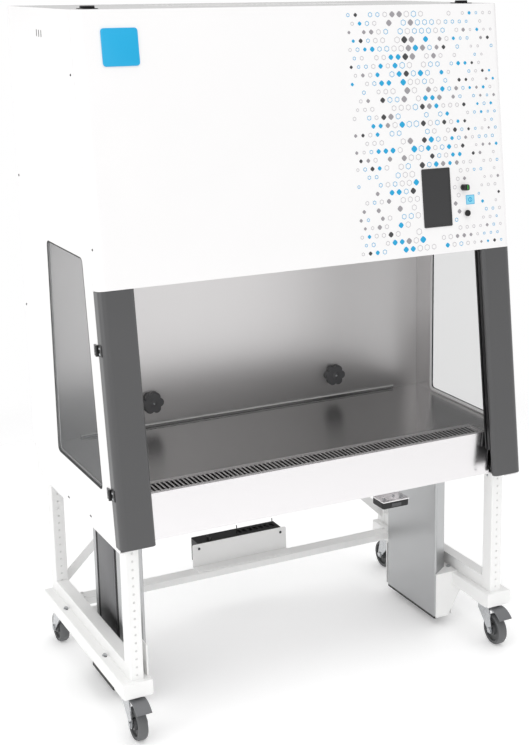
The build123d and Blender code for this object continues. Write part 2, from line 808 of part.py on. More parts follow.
# Base tub: drain pan with the front apron and a return under the grille
apron_half = guide_inner + guide_width - closing_sheet - seam
with BuildPart() as base_tub:
    with BuildSketch(Plane.XY.offset(cabinet_bottom)):
        with Locations((0, apron_y)):
            Rectangle(2 * (inner_side - seam), rear_y - rear_cut_depth - 2 * panel_sheet - apron_y,
                      align=(Align.CENTER, Align.MIN))
    extrude(amount=tub_sheet)
    with BuildSketch(Plane.YZ.offset(-apron_half)):
        with BuildLine():
            Polyline((apron_y + apron_return, liner_bottom), (apron_y, liner_bottom),
                     (apron_y, cabinet_bottom))
            offset(amount=tub_sheet, side=Side.LEFT)
        make_face()
    extrude(amount=2 * apron_half)
    with BuildSketch(Plane.YZ.offset(handset_x - handset_width / 2)):
        with BuildLine():
            Polyline((handset_y - handset_depth / 2, handset_top),
                     (handset_y + handset_depth / 2 - hanger_sheet, handset_top),
                     (handset_y + handset_depth / 2 - hanger_sheet, cabinet_bottom - hanger_sheet),
                     (handset_y + handset_depth, cabinet_bottom - hanger_sheet))
            offset(amount=hanger_sheet, side=Side.LEFT)
        make_face()
    extrude(amount=handset_width)
save(base_tub.part, "base_tub")

# Work surface with two rows of square holes along the back and its rear edge turned up
worktop_rear = back_wall_y - fit
grille_front = apron_y + tub_sheet + fit
worktop_front = grille_front + grille_depth
hole_columns = int((worktop_width - 2 * hole_rear_margin) / hole_pitch)
with BuildPart() as worktop:
    with BuildSketch(Plane.XY.offset(liner_bottom)):
        with Locations((0, worktop_front + fit)):
            Rectangle(worktop_width, worktop_rear - worktop_front - fit,
                      align=(Align.CENTER, Align.MIN))
        hole_rows_y = worktop_rear - hole_rear_margin - hole_row_gap / 2
        with Locations((0, hole_rows_y)):
            with GridLocations(hole_pitch, hole_row_gap, hole_columns, 2):
                Rectangle(hole_size, hole_size, mode=Mode.SUBTRACT)
    extrude(amount=liner_sheet)
    with BuildSketch(Plane.XY.offset(liner_bottom)):
        with Locations((0, worktop_rear)):
            Rectangle(worktop_width, liner_sheet, align=(Align.CENTER, Align.MAX))
    extrude(amount=liner_sheet + upstand)
save(worktop.part, "worktop")

# Front air grille: a loose plate slotted from end to end
grille_slots = int((worktop_width - slot_pitch) / slot_pitch)
with BuildPart() as front_grille:
    with BuildSketch(Plane.XY.offset(liner_bottom)):
        with Locations((0, grille_front)):
            Rectangle(worktop_width, grille_depth, align=(Align.CENTER, Align.MIN))
        with Locations((0, grille_front + slot_lead + slot_length / 2)):
            with GridLocations(slot_pitch, 1, grille_slots, 1):
                Rectangle(slot_width, slot_length, mode=Mode.SUBTRACT)
    extrude(amount=liner_sheet)
save(front_grille.part, "front_grille")

# Side sills: folded sheet that carries the work surface, closes the gap to the side panel and lines
# the panel round its window up to the filter
sill_inner = worktop_width / 2 + fit
liner_front = return_depth + 2 * seam + closing_sheet
with BuildPart() as side_sill:
    with BuildSketch(Plane.XZ.offset(-worktop_rear)):
        with BuildLine():
            Polyline((inner_side, worktop_height), (sill_inner, worktop_height),
                     (sill_inner, liner_bottom), (sill_inner - ledge_width, liner_bottom),
                     (sill_inner - ledge_width, liner_bottom - liner_sheet),
                     (sill_inner + ledge_leg, liner_bottom - liner_sheet),
                     (sill_inner + ledge_leg, cabinet_bottom + tub_sheet),
                     (sill_inner + ledge_leg + liner_sheet, cabinet_bottom + tub_sheet),
                     (sill_inner + ledge_leg + liner_sheet, liner_bottom), (inner_side, liner_bottom),
                     close=True)
        make_face()
    extrude(amount=worktop_rear - apron_y - apron_return - seam)
    with BuildSketch(Plane.YZ.offset(inner_side)):
        Polygon((front_y(liner_bottom, liner_front), liner_bottom), (worktop_rear, liner_bottom),
                (worktop_rear, ceiling - seam), (front_y(ceiling, liner_front), ceiling - seam),
                align=None)
        with BuildSketch(mode=Mode.SUBTRACT) as liner_opening:
            Polygon(*window_outline, align=None)
            fillet(liner_opening.vertices(), window_corner)
    extrude(amount=-liner_sheet)
save_pair(side_sill.part, "side_sill")

# Back wall of the work chamber, spun out round each port into a spigot
with BuildPart() as back_wall:
    with BuildSketch(Plane.XZ.offset(-back_wall_y)):
        with Locations((0, cabinet_bottom + tub_sheet)):
            Rectangle(2 * inner_side, filter_top - cabinet_bottom - tub_sheet,
                      align=(Align.CENTER, Align.MIN))
    extrude(amount=-liner_sheet)
    with BuildSketch(Plane.XZ.offset(-back_wall_y)):
        for side in (-1, 1):
            with Locations((side * port_x, port_height)):
                Circle(port_spigot / 2)
    extrude(amount=port_spigot_length)
    with BuildSketch(Plane.XZ.offset(-back_wall_y + port_spigot_length)):
        for side in (-1, 1):
            with Locations((side * port_x, port_height)):
                Circle(port_spigot / 2 - liner_sheet)
    extrude(amount=-port_spigot_length - liner_sheet, mode=Mode.SUBTRACT)
save(back_wall.part, "back_wall")

# Port caps: lobed moulded caps that turn on the spigots
lobe_radius = port_cap / 5
with BuildPart() as port_cap_part:
    with BuildSketch(Plane.XZ.offset(-back_wall_y + leaf_fit)) as cap_section:
        with Locations((port_x, port_height)):
            Circle(port_cap / 2 - lobe_radius / 2)
            with PolarLocations(port_cap / 2 - lobe_radius, port_lobes):
                Circle(lobe_radius)
    extrude(amount=port_cap_depth)
    fillet(port_cap_part.edges().group_by(Axis.Y)[0], port_cap_round)
    with BuildSketch(Plane.XZ.offset(-back_wall_y + leaf_fit)):
        with Locations((port_x, port_height)):
            Circle(port_spigot / 2 + pin_fit)
    extrude(amount=port_spigot_length, mode=Mode.SUBTRACT)
save_pair(port_cap_part.part, "port_cap")

# Sash: one pane of safety glass, stored raised behind the front skin
sash_bottom = panel_bottom + sash_hidden
with BuildPart() as sash_glass:
    with BuildSketch(lean_section(sash_bottom)):
        with Locations((0, sash_depth)):
            Rectangle(2 * sash_edge, glass, align=(Align.CENTER, Align.MIN))
    extrude(amount=sash_height)
    fillet(sash_glass.edges().filter_by(Axis((0, 0, 0), (0, lean_cos, -lean_sin))), sash_corner)
save(sash_glass.part, "sash_glass")

# Sash guides: channels for the pane with a wide flange that closes the front beside the opening
closing_depth = return_depth + seam
slot_front = sash_depth - guide_slot_fit
slot_back = sash_depth + glass + guide_slot_fit
slot_floor = sash_edge + guide_slot_gap
guide_outer = guide_inner + guide_width
with BuildPart() as sash_guide:
    with BuildSketch(lean_section(cabinet_bottom - foot_gap)):
        with BuildLine():
            Polyline((guide_inner, guide_front), (guide_outer, guide_front),
                     (guide_outer, guide_back), (guide_inner, guide_back), (guide_inner, slot_back),
                     (slot_floor, slot_back), (slot_floor, slot_front), (guide_inner, slot_front),
                     close=True)
        make_face()
    extrude(amount=lean_length(cabinet_bottom, guide_top))
    trim_heights(guide_bottom, guide_top)
    with BuildSketch(lean_section(cabinet_bottom - foot_gap)):
        with BuildLine():
            Polyline((guide_outer - guide_web, guide_back - guide_web), (guide_outer, guide_back - guide_web),
                     (guide_outer, closing_depth), (inner_side, closing_depth),
                     (inner_side, closing_depth + closing_sheet),
                     (guide_outer - guide_web, closing_depth + closing_sheet), close=True)
        make_face()
    extrude(amount=lean_length(cabinet_bottom, filter_top))
    trim_heights(cabinet_bottom + tub_sheet, guide_top)
save_pair(sash_guide.part, "sash_guide")



def cover_outline(x_low, x_high, low_radius, high_radius, inset=0.0):
    """Filled section of a folded front cover, or of the hollow inside its sheet."""
    with BuildSketch() as outline:
        with Locations(((x_low + x_high) / 2, inset)):
            Rectangle(x_high - x_low - 2 * inset, return_depth, align=(Align.CENTER, Align.MIN))
        for end, radius in ((0, low_radius), (-1, high_radius)):
            corner = outline.vertices().group_by(Axis.Y)[0].sort_by(Axis.X)[end]
            fillet(corner, radius - inset)
    return outline.sketch


# Pillar covers: folded sheet, hinged on the side panel at the edge of the outer return
hinge_axis_x = half_width + knuckle / 2 + leaf_fit
hinge_axis_depth = return_depth + seam / 2
pillar_inner = half_width - pillar_width
pillar_shape = (pillar_inner, half_width, pillar_inner_radius, corner_radius)
with BuildPart() as pillar:
    with BuildSketch(lean_section(cabinet_bottom)):
        add(cover_outline(*pillar_shape))
        add(cover_outline(*pillar_shape, inset=skin_sheet), mode=Mode.SUBTRACT)
        with Locations((pillar_inner, pillar_inner_return)):
            Rectangle(2 * skin_sheet, return_depth, align=(Align.MIN, Align.MIN), mode=Mode.SUBTRACT)
    extrude(amount=lean_length(cabinet_bottom, panel_bottom - seam))
    split(bisect_by=Plane.XY.offset(pillar_foot), keep=Keep.TOP)
    for hinge_z in hinge_heights:
        with BuildSketch(lean_section(hinge_z)):
            with Locations((half_width, hinge_axis_depth - leaf_start)):
                Rectangle(hinge_sheet, hinge_leaf - leaf_start, align=(Align.MIN, Align.MAX))
        extrude(amount=hinge_length / 2, both=True)
        with BuildSketch(lean_section(hinge_z)):
            with Locations((hinge_axis_x, hinge_axis_depth)):
                Circle(knuckle / 2)
            with Locations((half_width, hinge_axis_depth)):
                Rectangle(hinge_sheet, leaf_start + seam, align=(Align.MIN, Align.MAX))
        extrude(amount=hinge_length / 6 - leaf_fit, both=True)
        with BuildSketch(lean_section(hinge_z)):
            with Locations((hinge_axis_x, hinge_axis_depth)):
                Circle(hinge_pin / 2 + pin_fit)
        extrude(amount=hinge_length, both=True, mode=Mode.SUBTRACT)
save_pair(pillar.part, "pillar")

# Fixed halves of the pillar hinges: leaf on the side panel, two knuckles and the pin
with BuildPart() as pillar_hinges:
    for hinge_z in hinge_heights:
        with BuildSketch(lean_section(hinge_z)):
            with Locations((half_width, hinge_axis_depth + leaf_start)):
                Rectangle(hinge_sheet, hinge_leaf - leaf_start, align=(Align.MIN, Align.MIN))
        extrude(amount=hinge_length / 2, both=True)
        for third in (-1, 1):
            with BuildSketch(lean_section(hinge_z).offset(third * hinge_length / 3)):
                with Locations((hinge_axis_x, hinge_axis_depth)):
                    Circle(knuckle / 2)
                with Locations((half_width, hinge_axis_depth)):
                    Rectangle(hinge_sheet, leaf_start + seam, align=(Align.MIN, Align.MIN))
            extrude(amount=hinge_length / 6, both=True)
        with BuildSketch(lean_section(hinge_z)):
            with Locations((hinge_axis_x, hinge_axis_depth)):
                Circle(hinge_pin / 2)
        extrude(amount=hinge_length / 2, both=True)
save_pair(pillar_hinges.part, "pillar_hinges")

# Front panel: one folded skin over the whole upper front, closed at the top and lipped at the foot
panel_shape = (-half_width, half_width, corner_radius, corner_radius)
with BuildPart() as panel_block:
    with BuildSketch(lean_section(panel_bottom)):
        add(cover_outline(*panel_shape))
    extrude(amount=lean_length(panel_bottom, cabinet_top) + return_depth)
    split(bisect_by=Plane.XY.offset(cabinet_top), keep=Keep.BOTTOM)
with BuildPart() as panel_hollow:
    with BuildSketch(lean_section(panel_bottom)):
        add(cover_outline(*panel_shape, inset=skin_sheet))
    extrude(amount=lean_length(panel_bottom, cabinet_top) + return_depth)
    split(bisect_by=Plane.XY.offset(cabinet_top - skin_sheet), keep=Keep.BOTTOM)
with BuildPart() as front_panel:
    add(panel_block.part)
    add(panel_hollow.part, mode=Mode.SUBTRACT)
    with BuildSketch(lean_section(panel_bottom)):
        add(cover_outline(*panel_shape))
        with Locations((0, panel_lip)):
            Rectangle(cabinet_width, return_depth, align=(Align.CENTER, Align.MIN), mode=Mode.SUBTRACT)
    extrude(amount=skin_sheet)
    with BuildSketch(skin_plane(display_x, display_height)):
        Rectangle(display_width - 2 * display_margin, display_length - 2 * display_margin)
    extrude(amount=-2 * skin_sheet, mode=Mode.SUBTRACT)
    for stem_x, stem_z in ((knob_x, knob_height), (button_x, button_height)):
        with BuildSketch(skin_plane(stem_x, stem_z)):
            Circle(stem_diameter / 2 + pin_fit)
        extrude(amount=-2 * skin_sheet, mode=Mode.SUBTRACT)
    for hinge_x in front_hinge_xs:
        with BuildSketch(Plane.XY.offset(cabinet_top)):
            with Locations((hinge_x, hinge_axis_y - leaf_start)):
                Rectangle(front_hinge_length, hinge_leaf - leaf_start, align=(Align.CENTER, Align.MAX))
        extrude(amount=hinge_sheet)
        with BuildSketch(Plane.YZ.offset(hinge_x)):
            with Locations((hinge_axis_y, hinge_axis_z)):
                Circle(knuckle / 2)
            with Locations((hinge_axis_y, cabinet_top)):
                Rectangle(leaf_start + seam, hinge_sheet, align=(Align.MAX, Align.MIN))
        extrude(amount=front_hinge_length / 6 - leaf_fit, both=True)
        with BuildSketch(Plane.YZ.offset(hinge_x)):
            with Locations((hinge_axis_y, hinge_axis_z)):
                Circle(hinge_pin / 2 + pin_fit)
        extrude(amount=front_hinge_length, both=True, mode=Mode.SUBTRACT)
save(front_panel.part, "front_panel")

# Display: bezel on the skin, body through it, screen let into the bezel
with BuildPart() as display:
    with BuildSketch(skin_plane(display_x, display_height)):
        RectangleRounded(display_width, display_length, display_corner)
    extrude(amount=display_bezel)
    with BuildSketch(skin_plane(display_x, display_height)):
        Rectangle(display_width - 2 * display_margin - 2 * fit, display_length - 2 * display_margin - 2 * fit)
    extrude(amount=-display_body)
    with BuildSketch(skin_plane(display_x, display_height, -display_bezel)):
        Rectangle(display_width - 2 * display_margin, display_length - 2 * display_margin)
    extrude(amount=-display_bezel / 3, mode=Mode.SUBTRACT)
save(display.part, "display")

# Selector knob: round grip with a flat on each side, on a stem through the skin
with BuildPart() as selector_knob:
    with BuildSketch(skin_plane(knob_x, knob_height, -leaf_fit)):
        Circle(knob_diameter / 2)
    extrude(amount=knob_length)
    chamfer(selector_knob.faces().sort_by(inward)[0].edges(), knob_chamfer)
    for side in (-1, 1):
        with BuildSketch(skin_plane(knob_x, knob_height, -leaf_fit - knob_length / 3)):
            with Locations((side * (knob_diameter / 2 - grip_flats / 2), 0)):
                Rectangle(grip_flats, knob_diameter)
        extrude(amount=knob_length, mode=Mode.SUBTRACT)
    with BuildSketch(skin_plane(knob_x, knob_height, -leaf_fit)):
        Circle(stem_diameter / 2)
    extrude(amount=-stem_length)
save(selector_knob.part, "selector_knob")

# Push button: domed head that stands its travel off the skin, on a stem through it
button_back = -button_travel - leaf_fit
with BuildPart() as push_button:
    with BuildSketch(skin_plane(button_x, button_height, button_back)):
        Circle(button_diameter / 2)
    extrude(amount=button_rise)
    fillet(push_button.faces().sort_by(inward)[0].edges(), button_round)
    with BuildSketch(skin_plane(button_x, button_height, button_back)):
        Circle(stem_diameter / 2)
    extrude(amount=-stem_length)
save(push_button.part, "push_button")

# Downflow and exhaust filters: framed packs with the media let in above and below
exhaust_filter_height = cabinet_top - panel_sheet - air_box_top
downflow_depth = back_wall_y - fit - filter_front
filters = (
    ("downflow_filter", 2 * air_box_side, downflow_depth, filter_front + downflow_depth / 2,
     ceiling, filter_height),
    ("exhaust_filter", exhaust_width, exhaust_depth, exhaust_y, air_box_top, exhaust_filter_height),
)
for filter_name, across, deep, centre_y, bottom, height in filters:
    with BuildPart() as filter_pack:
        with BuildSketch(Plane.XY.offset(bottom)):
            with Locations((0, centre_y)):
                Rectangle(across, deep)
        extrude(amount=height)
        for face_z in (bottom, bottom + height - filter_recess):
            with BuildSketch(Plane.XY.offset(face_z)):
                with Locations((0, centre_y)):
                    Rectangle(across - 2 * filter_frame, deep - 2 * filter_frame)
            extrude(amount=filter_recess, mode=Mode.SUBTRACT)
    save(filter_pack.part, filter_name)

# Air box: sheet plenum open onto the downflow filter, with a motor and shaft in each fan inlet
box_depth_y = back_wall_y - air_box_front
box_height_z = air_box_top - filter_top
shroud_rear = back_wall_y - air_box_sheet - fan_gap
impeller_front = shroud_rear - fan_width
with BuildPart() as air_box:
    with BuildSketch(Plane.XY.offset(filter_top)):
        with Locations((0, air_box_front)):
            Rectangle(2 * air_box_side, box_depth_y, align=(Align.CENTER, Align.MIN))
    extrude(amount=box_height_z)
    with BuildSketch(Plane.XY.offset(filter_top)):
        with Locations((0, air_box_front + air_box_sheet)):
            Rectangle(2 * (air_box_side - air_box_sheet), box_depth_y - 2 * air_box_sheet,
                      align=(Align.CENTER, Align.MIN))
    extrude(amount=box_height_z - air_box_sheet, mode=Mode.SUBTRACT)
    with BuildSketch(Plane.XY.offset(air_box_top - air_box_sheet)):
        with Locations((0, exhaust_y)):
            Rectangle(exhaust_width - 2 * filter_frame, exhaust_depth - 2 * filter_frame)
    extrude(amount=air_box_sheet, mode=Mode.SUBTRACT)
    with BuildSketch(Plane.XZ.offset(-back_wall_y)):
        with Locations((-fan_x, fan_height), (fan_x, fan_height)):
            Circle(fan_inlet / 2)
    extrude(amount=air_box_sheet, mode=Mode.SUBTRACT)
    with BuildSketch(Plane.XZ.offset(-back_wall_y - motor_plate)):
        with Locations((-fan_x, fan_height), (fan_x, fan_height)):
            Rectangle(fan_inlet + 2 * motor_arm_overlap, motor_arm)
            Rectangle(motor_arm, fan_inlet + 2 * motor_arm_overlap)
    extrude(amount=motor_plate)
    with BuildSketch(Plane.XZ.offset(-back_wall_y - motor_plate)):
        with Locations((-fan_x, fan_height), (fan_x, fan_height)):
            Circle(motor_diameter / 2)
    extrude(amount=motor_length)
    with BuildSketch(Plane.XZ.offset(-back_wall_y)):
        with Locations((-fan_x, fan_height), (fan_x, fan_height)):
            Circle(shaft_diameter / 2)
    extrude(amount=back_wall_y - impeller_front + motor_plate)
save(air_box.part, "air_box")

# Impellers: backplate, swept blades and inlet shroud, running on the motor shafts
with BuildSketch() as blade:
    with BuildLine():
        root = (blade_root_radius, 0)
        middle_radius = (blade_root_radius + fan_diameter / 2) / 2
        middle = (middle_radius * cos(radians(blade_sweep * blade_bow)),
                  middle_radius * sin(radians(blade_sweep * blade_bow)))
        tip_radius = fan_diameter / 2 - 2 * fan_sheet
        tip = (tip_radius * cos(radians(blade_sweep)), tip_radius * sin(radians(blade_sweep)))
        ThreePointArc(root, middle, tip)
        offset(amount=fan_sheet, side=Side.LEFT)
    make_face()
with BuildPart() as impeller:
    with BuildSketch(Plane.XZ.offset(-impeller_front - fan_sheet)):
        with Locations((fan_x, fan_height)):
            Circle(fan_diameter / 2)
    extrude(amount=fan_sheet)
    with BuildSketch(Plane.XZ.offset(-shroud_rear)):
        with Locations((fan_x, fan_height)):
            with PolarLocations(0, fan_blades):
                add(blade.sketch)
    extrude(amount=fan_width)
    with BuildSketch(Plane.XZ.offset(-shroud_rear)):
        with Locations((fan_x, fan_height)):
            Circle(fan_diameter / 2)
            Circle(fan_inlet / 2, mode=Mode.SUBTRACT)
    extrude(amount=fan_sheet)
    with BuildSketch(Plane.XZ.offset(-impeller_front - fan_hub_length)):
        with Locations((fan_x, fan_height)):
            Circle(fan_hub_diameter / 2)
    extrude(amount=fan_hub_length)
    with BuildSketch(Plane.XZ.offset(-shroud_rear)):
        with Locations((fan_x, fan_height)):
            Circle(shaft_diameter / 2 + pin_fit)
    extrude(amount=fan_width, mode=Mode.SUBTRACT)
save_pair(impeller.part, "impeller")

# Lamp: housing on the front of the downflow filter, over a plate that closes the front ceiling
with BuildPart() as lamp:
    with BuildSketch(Plane.YZ.offset(-lamp_length / 2)):
        with Locations((filter_front, lamp_bottom + lamp_height)):
            Rectangle(lamp_width, lamp_height - lamp_tube / 2, align=(Align.MAX, Align.MAX))
        with Locations((filter_front - lamp_width / 2, lamp_bottom + lamp_tube / 2)):
            Circle(lamp_tube / 2)
    extrude(amount=lamp_length)
    with BuildSketch(Plane.XY.offset(lamp_bottom + lamp_height)):
        with Locations((0, lamp_plate_front)):
            Rectangle(lamp_plate_width, filter_front - lamp_plate_front, align=(Align.CENTER, Align.MIN))
    extrude(amount=lamp_plate)
save(lamp.part, "lamp")

# Handset: moulded case hung under the front edge, with a rocker on a pin across its front pocket
handset_front = handset_y - handset_depth / 2
rocker_z = handset_top - handset_height / 2
rocker_plane = Plane.XZ.offset(-handset_front)
pocket_depth = rocker_depth - rocker_rise + rocker_fit
rocker_axis_y = handset_front + rocker_depth / 2 - rocker_rise / 2
with BuildPart() as handset:
    with BuildSketch(Plane.XY.offset(handset_top - handset_height)):
        with Locations((handset_x, handset_y)):
            RectangleRounded(handset_width, handset_depth, handset_corner)
    extrude(amount=handset_height)
    fillet(handset.faces().sort_by(Axis.Z)[0].edges(), handset_round)
    with BuildSketch(rocker_plane):
        with Locations((handset_x, rocker_z)):
            Rectangle(rocker_width + 2 * fit, rocker_height + 4 * fit)
    extrude(amount=-pocket_depth, mode=Mode.SUBTRACT)
    with BuildSketch(Plane.YZ.offset(handset_x - rocker_width / 2 - fit)):
        with Locations((rocker_axis_y, rocker_z)):
            Circle(rocker_pin / 2)
    extrude(amount=rocker_width + 2 * fit)
save(handset.part, "handset")

with BuildPart() as handset_rocker:
    with BuildSketch(Plane.YZ.offset(handset_x - rocker_width / 2)):
        with Locations((handset_front - rocker_rise + rocker_depth / 2, rocker_z)):
            RectangleRounded(rocker_depth, rocker_height, rocker_round)
        with Locations((rocker_axis_y, rocker_z)):
            Circle(rocker_pin / 2 + pin_fit, mode=Mode.SUBTRACT)
    extrude(amount=rocker_width)
save(handset_rocker.part, "handset_rocker")
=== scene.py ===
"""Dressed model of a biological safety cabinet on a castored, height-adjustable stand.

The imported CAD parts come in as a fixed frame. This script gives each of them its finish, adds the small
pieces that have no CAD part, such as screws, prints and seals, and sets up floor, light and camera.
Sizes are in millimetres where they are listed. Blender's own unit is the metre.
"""
from __future__ import annotations

import logging
import math
import random
from collections.abc import Iterable, Sequence
from dataclasses import dataclass, field
from enum import Enum

import bmesh
import bpy
from mathutils import Matrix, Vector


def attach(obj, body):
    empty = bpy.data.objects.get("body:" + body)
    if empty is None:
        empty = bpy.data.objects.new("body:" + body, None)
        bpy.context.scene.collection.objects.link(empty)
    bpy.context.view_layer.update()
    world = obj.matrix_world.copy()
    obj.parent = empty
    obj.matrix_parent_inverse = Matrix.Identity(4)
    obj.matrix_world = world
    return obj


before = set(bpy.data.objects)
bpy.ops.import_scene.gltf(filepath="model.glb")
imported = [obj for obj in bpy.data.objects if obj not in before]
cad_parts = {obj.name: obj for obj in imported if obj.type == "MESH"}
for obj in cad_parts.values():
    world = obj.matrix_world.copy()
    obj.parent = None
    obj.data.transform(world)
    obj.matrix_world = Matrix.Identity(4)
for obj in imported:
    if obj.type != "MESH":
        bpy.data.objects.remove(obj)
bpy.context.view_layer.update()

log = logging.getLogger("cabinet")

MM = 0.001
# The front skin leans back by this angle from its foot.
LEAN = math.radians(7.24)
SKIN_FOOT_Y = -421.0
SKIN_FOOT_Z = 611.3
HALF_WIDTH = 670.0


class Facing(Enum):
    """The way a piece's local z points, with its local x and y beside it."""

    UP = ((1, 0, 0), (0, 1, 0), (0, 0, 1))
    DOWN = ((1, 0, 0), (0, -1, 0), (0, 0, -1))
    FRONT = ((1, 0, 0), (0, 0, 1), (0, -1, 0))
    BACK = ((-1, 0, 0), (0, 0, 1), (0, 1, 0))
    RIGHT = ((0, 1, 0), (0, 0, 1), (1, 0, 0))
    LEFT = ((0, -1, 0), (0, 0, 1), (-1, 0, 0))


class Side(Enum):
    """Left or right, as the operator sees it."""

    LEFT = -1
    RIGHT = 1

    @property
    def word(self) -> str:
        """The side's name as the CAD parts write it."""
        return self.name.lower()

    @property
    def outward(self) -> Facing:
        """The way out of the cabinet on this side."""
        return Facing.RIGHT if self is Side.RIGHT else Facing.LEFT


def place(x: float, y: float, z: float, facing: Facing = Facing.UP, turn: float = 0.0) -> Matrix:
    """Gives the matrix that puts local millimetres at a point of the object.

    Args:
        x: across the object, in mm.
        y: front to back, in mm.
        z: up, in mm.
        facing: the way the local z points.
        turn: turn about the local z, in degrees.

    Returns:
        A matrix from local millimetres to metres in the object's frame.
    """
    axes = Matrix(facing.value).transposed().to_4x4()
    spin = Matrix.Rotation(math.radians(turn), 4, "Z")
    return Matrix.Translation(Vector((x, y, z)) * MM) @ axes @ spin @ Matrix.Scale(MM, 4)


def on_skin(x: float, z: float, proud: float = 0.0, turn: float = 0.0) -> Matrix:
    """Gives the matrix for a piece on the leaning front skin.

    Args:
        x: across the object, in mm.
        z: height on the skin, in mm.
        proud: distance out of the skin, in mm.
        turn: turn about the skin's normal, in degrees.

    Returns:
        A matrix whose local z points out of the skin and local y up along it.
    """
    normal = Vector((0, -math.cos(LEAN), math.sin(LEAN)))
    along = Vector((0, math.sin(LEAN), math.cos(LEAN)))
    y = SKIN_FOOT_Y + (z - SKIN_FOOT_Z) * math.tan(LEAN)
    axes = Matrix(((1, 0, 0), along, normal)).transposed().to_4x4()
    spin = Matrix.Rotation(math.radians(turn), 4, "Z")
    origin = (Vector((x, y, z)) + normal * proud) * MM
    return Matrix.Translation(origin) @ axes @ spin @ Matrix.Scale(MM, 4)


def linear(colour: str) -> tuple[float, float, float, float]:
    """Turns an sRGB hex colour into the linear colour that Blender's sockets take."""
    parts = [int(colour[i:i + 2], 16) / 255 for i in (1, 3, 5)]
    return (*[p / 12.92 if p <= 0.04045 else ((p + 0.055) / 1.055) ** 2.4 for p in parts], 1.0)


def add_node(tree: bpy.types.NodeTree, kind: str, inputs: dict | None = None,
             **settings: object) -> bpy.types.Node:
    """Adds a node with its settings, values and links.

    Args:
        tree: the node tree to add to.
        kind: Blender's name for the node.
        inputs: socket names or numbers, each with a value or an output socket to link from.
        settings: the node's own properties.

    Returns:
        The new node.
    """
    made = tree.nodes.new(kind)
    for key, value in settings.items():
        setattr(made, key, value)
    for key, value in (inputs or {}).items():
        if isinstance(value, bpy.types.NodeSocket):
            tree.links.new(value, made.inputs[key])
        else:
            made.inputs[key].default_value = value
    return made


@dataclass(frozen=True)
class Finish:
    """A finish named for its real material; each kind builds its own nodes."""

    name: str
    colour: str
    roughness: float = 0.5

    def shader(self, **values: object) -> tuple[bpy.types.Material, bpy.types.NodeTree, bpy.types.Node]:
        """Starts the material with its shader and the values that are the same all over.

        Args:
            values: shader socket names, with _ for a space, and their values.

        Returns:
            The material, its node tree and its shader node.
        """
        material = bpy.data.materials.new(self.name)
        material.use_nodes = True
        tree = material.node_tree
        shader = tree.nodes["Principled BSDF"]
        shader.inputs["Base Color"].default_value = linear(self.colour)
        shader.inputs["Roughness"].default_value = self.roughness
        for key, value in values.items():
            shader.inputs[key.replace("_", " ")].default_value = value
        return material, tree, shader

    def noise(self, tree: bpy.types.NodeTree, size: float | Sequence[float],
              detail: float = 2.0) -> bpy.types.NodeSocket:
        """Adds noise whose features have a real size.

        Args:
            tree: the node tree to add to.
            size: feature size in mm, one number or one along each of X, Y and Z.
            detail: how many finer layers the noise holds.

        Returns:
            The noise's value socket.
        """
        sizes = (size,) * 3 if isinstance(size, (int, float)) else tuple(size)
        where = add_node(tree, "ShaderNodeTexCoord")
        scaled = add_node(tree, "ShaderNodeMapping", {
            "Vector": where.outputs["Object"], "Scale": tuple(1000 / s for s in sizes)})
        return add_node(tree, "ShaderNodeTexNoise", {
            "Vector": scaled.outputs["Vector"], "Scale": 1.0, "Detail": detail}).outputs[0]

    def build(self) -> bpy.types.Material:
        """Builds the material."""
        return self.shader()[0]


@dataclass(frozen=True)
class PowderCoat(Finish):
    """Polyester powder coat on sheet steel, sprayed and baked: smooth, with a fine orange peel.

    The real peel is about 2 mm from crest to crest and is drawn a little coarser, so that it shows. The
    colour drifts slightly over larger patches. A second colour covers what stands past a plane, such as
    the black leaf of a hinge that belongs to the same part.
    """

    peel: float = 3.0
    peel_depth: float = 0.15
    patch: float = 260.0
    thin_coat: int = 3
    coat: float = 0.25
    second: str = ""
    past_axis: str = "X"
    past: float = 0.0

    def build(self) -> bpy.types.Material:
        """Builds the material."""
        material, tree, shader = self.shader(Coat_Weight=self.coat, Coat_Roughness=0.08)
        shade = add_node(tree, "ShaderNodeMix", {
            "Factor": self.noise(tree, self.patch), 6: linear(self.colour), 7: linear(self.shaded())},
            data_type="RGBA")
        colour = shade.outputs[2]
        if self.second:
            where = add_node(tree, "ShaderNodeTexCoord")
            split = add_node(tree, "ShaderNodeSeparateXYZ", {0: where.outputs["Object"]})
            far = add_node(tree, "ShaderNodeMath", {0: split.outputs[self.past_axis]},
                           operation="ABSOLUTE")
            beyond = add_node(tree, "ShaderNodeMath", {0: far.outputs[0], 1: self.past * MM},
                              operation="GREATER_THAN")
            two = add_node(tree, "ShaderNodeMix", {
                "Factor": beyond.outputs[0], 6: colour, 7: linear(self.second)}, data_type="RGBA")
            colour = two.outputs[2]
        tree.links.new(colour, shader.inputs["Base Color"])
        bump = add_node(tree, "ShaderNodeBump", {
            "Height": self.noise(tree, self.peel), "Strength": 0.12, "Distance": self.peel_depth * MM})
        tree.links.new(bump.outputs[0], shader.inputs["Normal"])
        return material

    def shaded(self) -> str:
        """The coat's colour where it is a little thinner, and so a few steps darker."""
        parts = [max(0, int(self.colour[i:i + 2], 16) - self.thin_coat) for i in (1, 3, 5)]
        return "#" + "".join(f"{part:02X}" for part in parts)


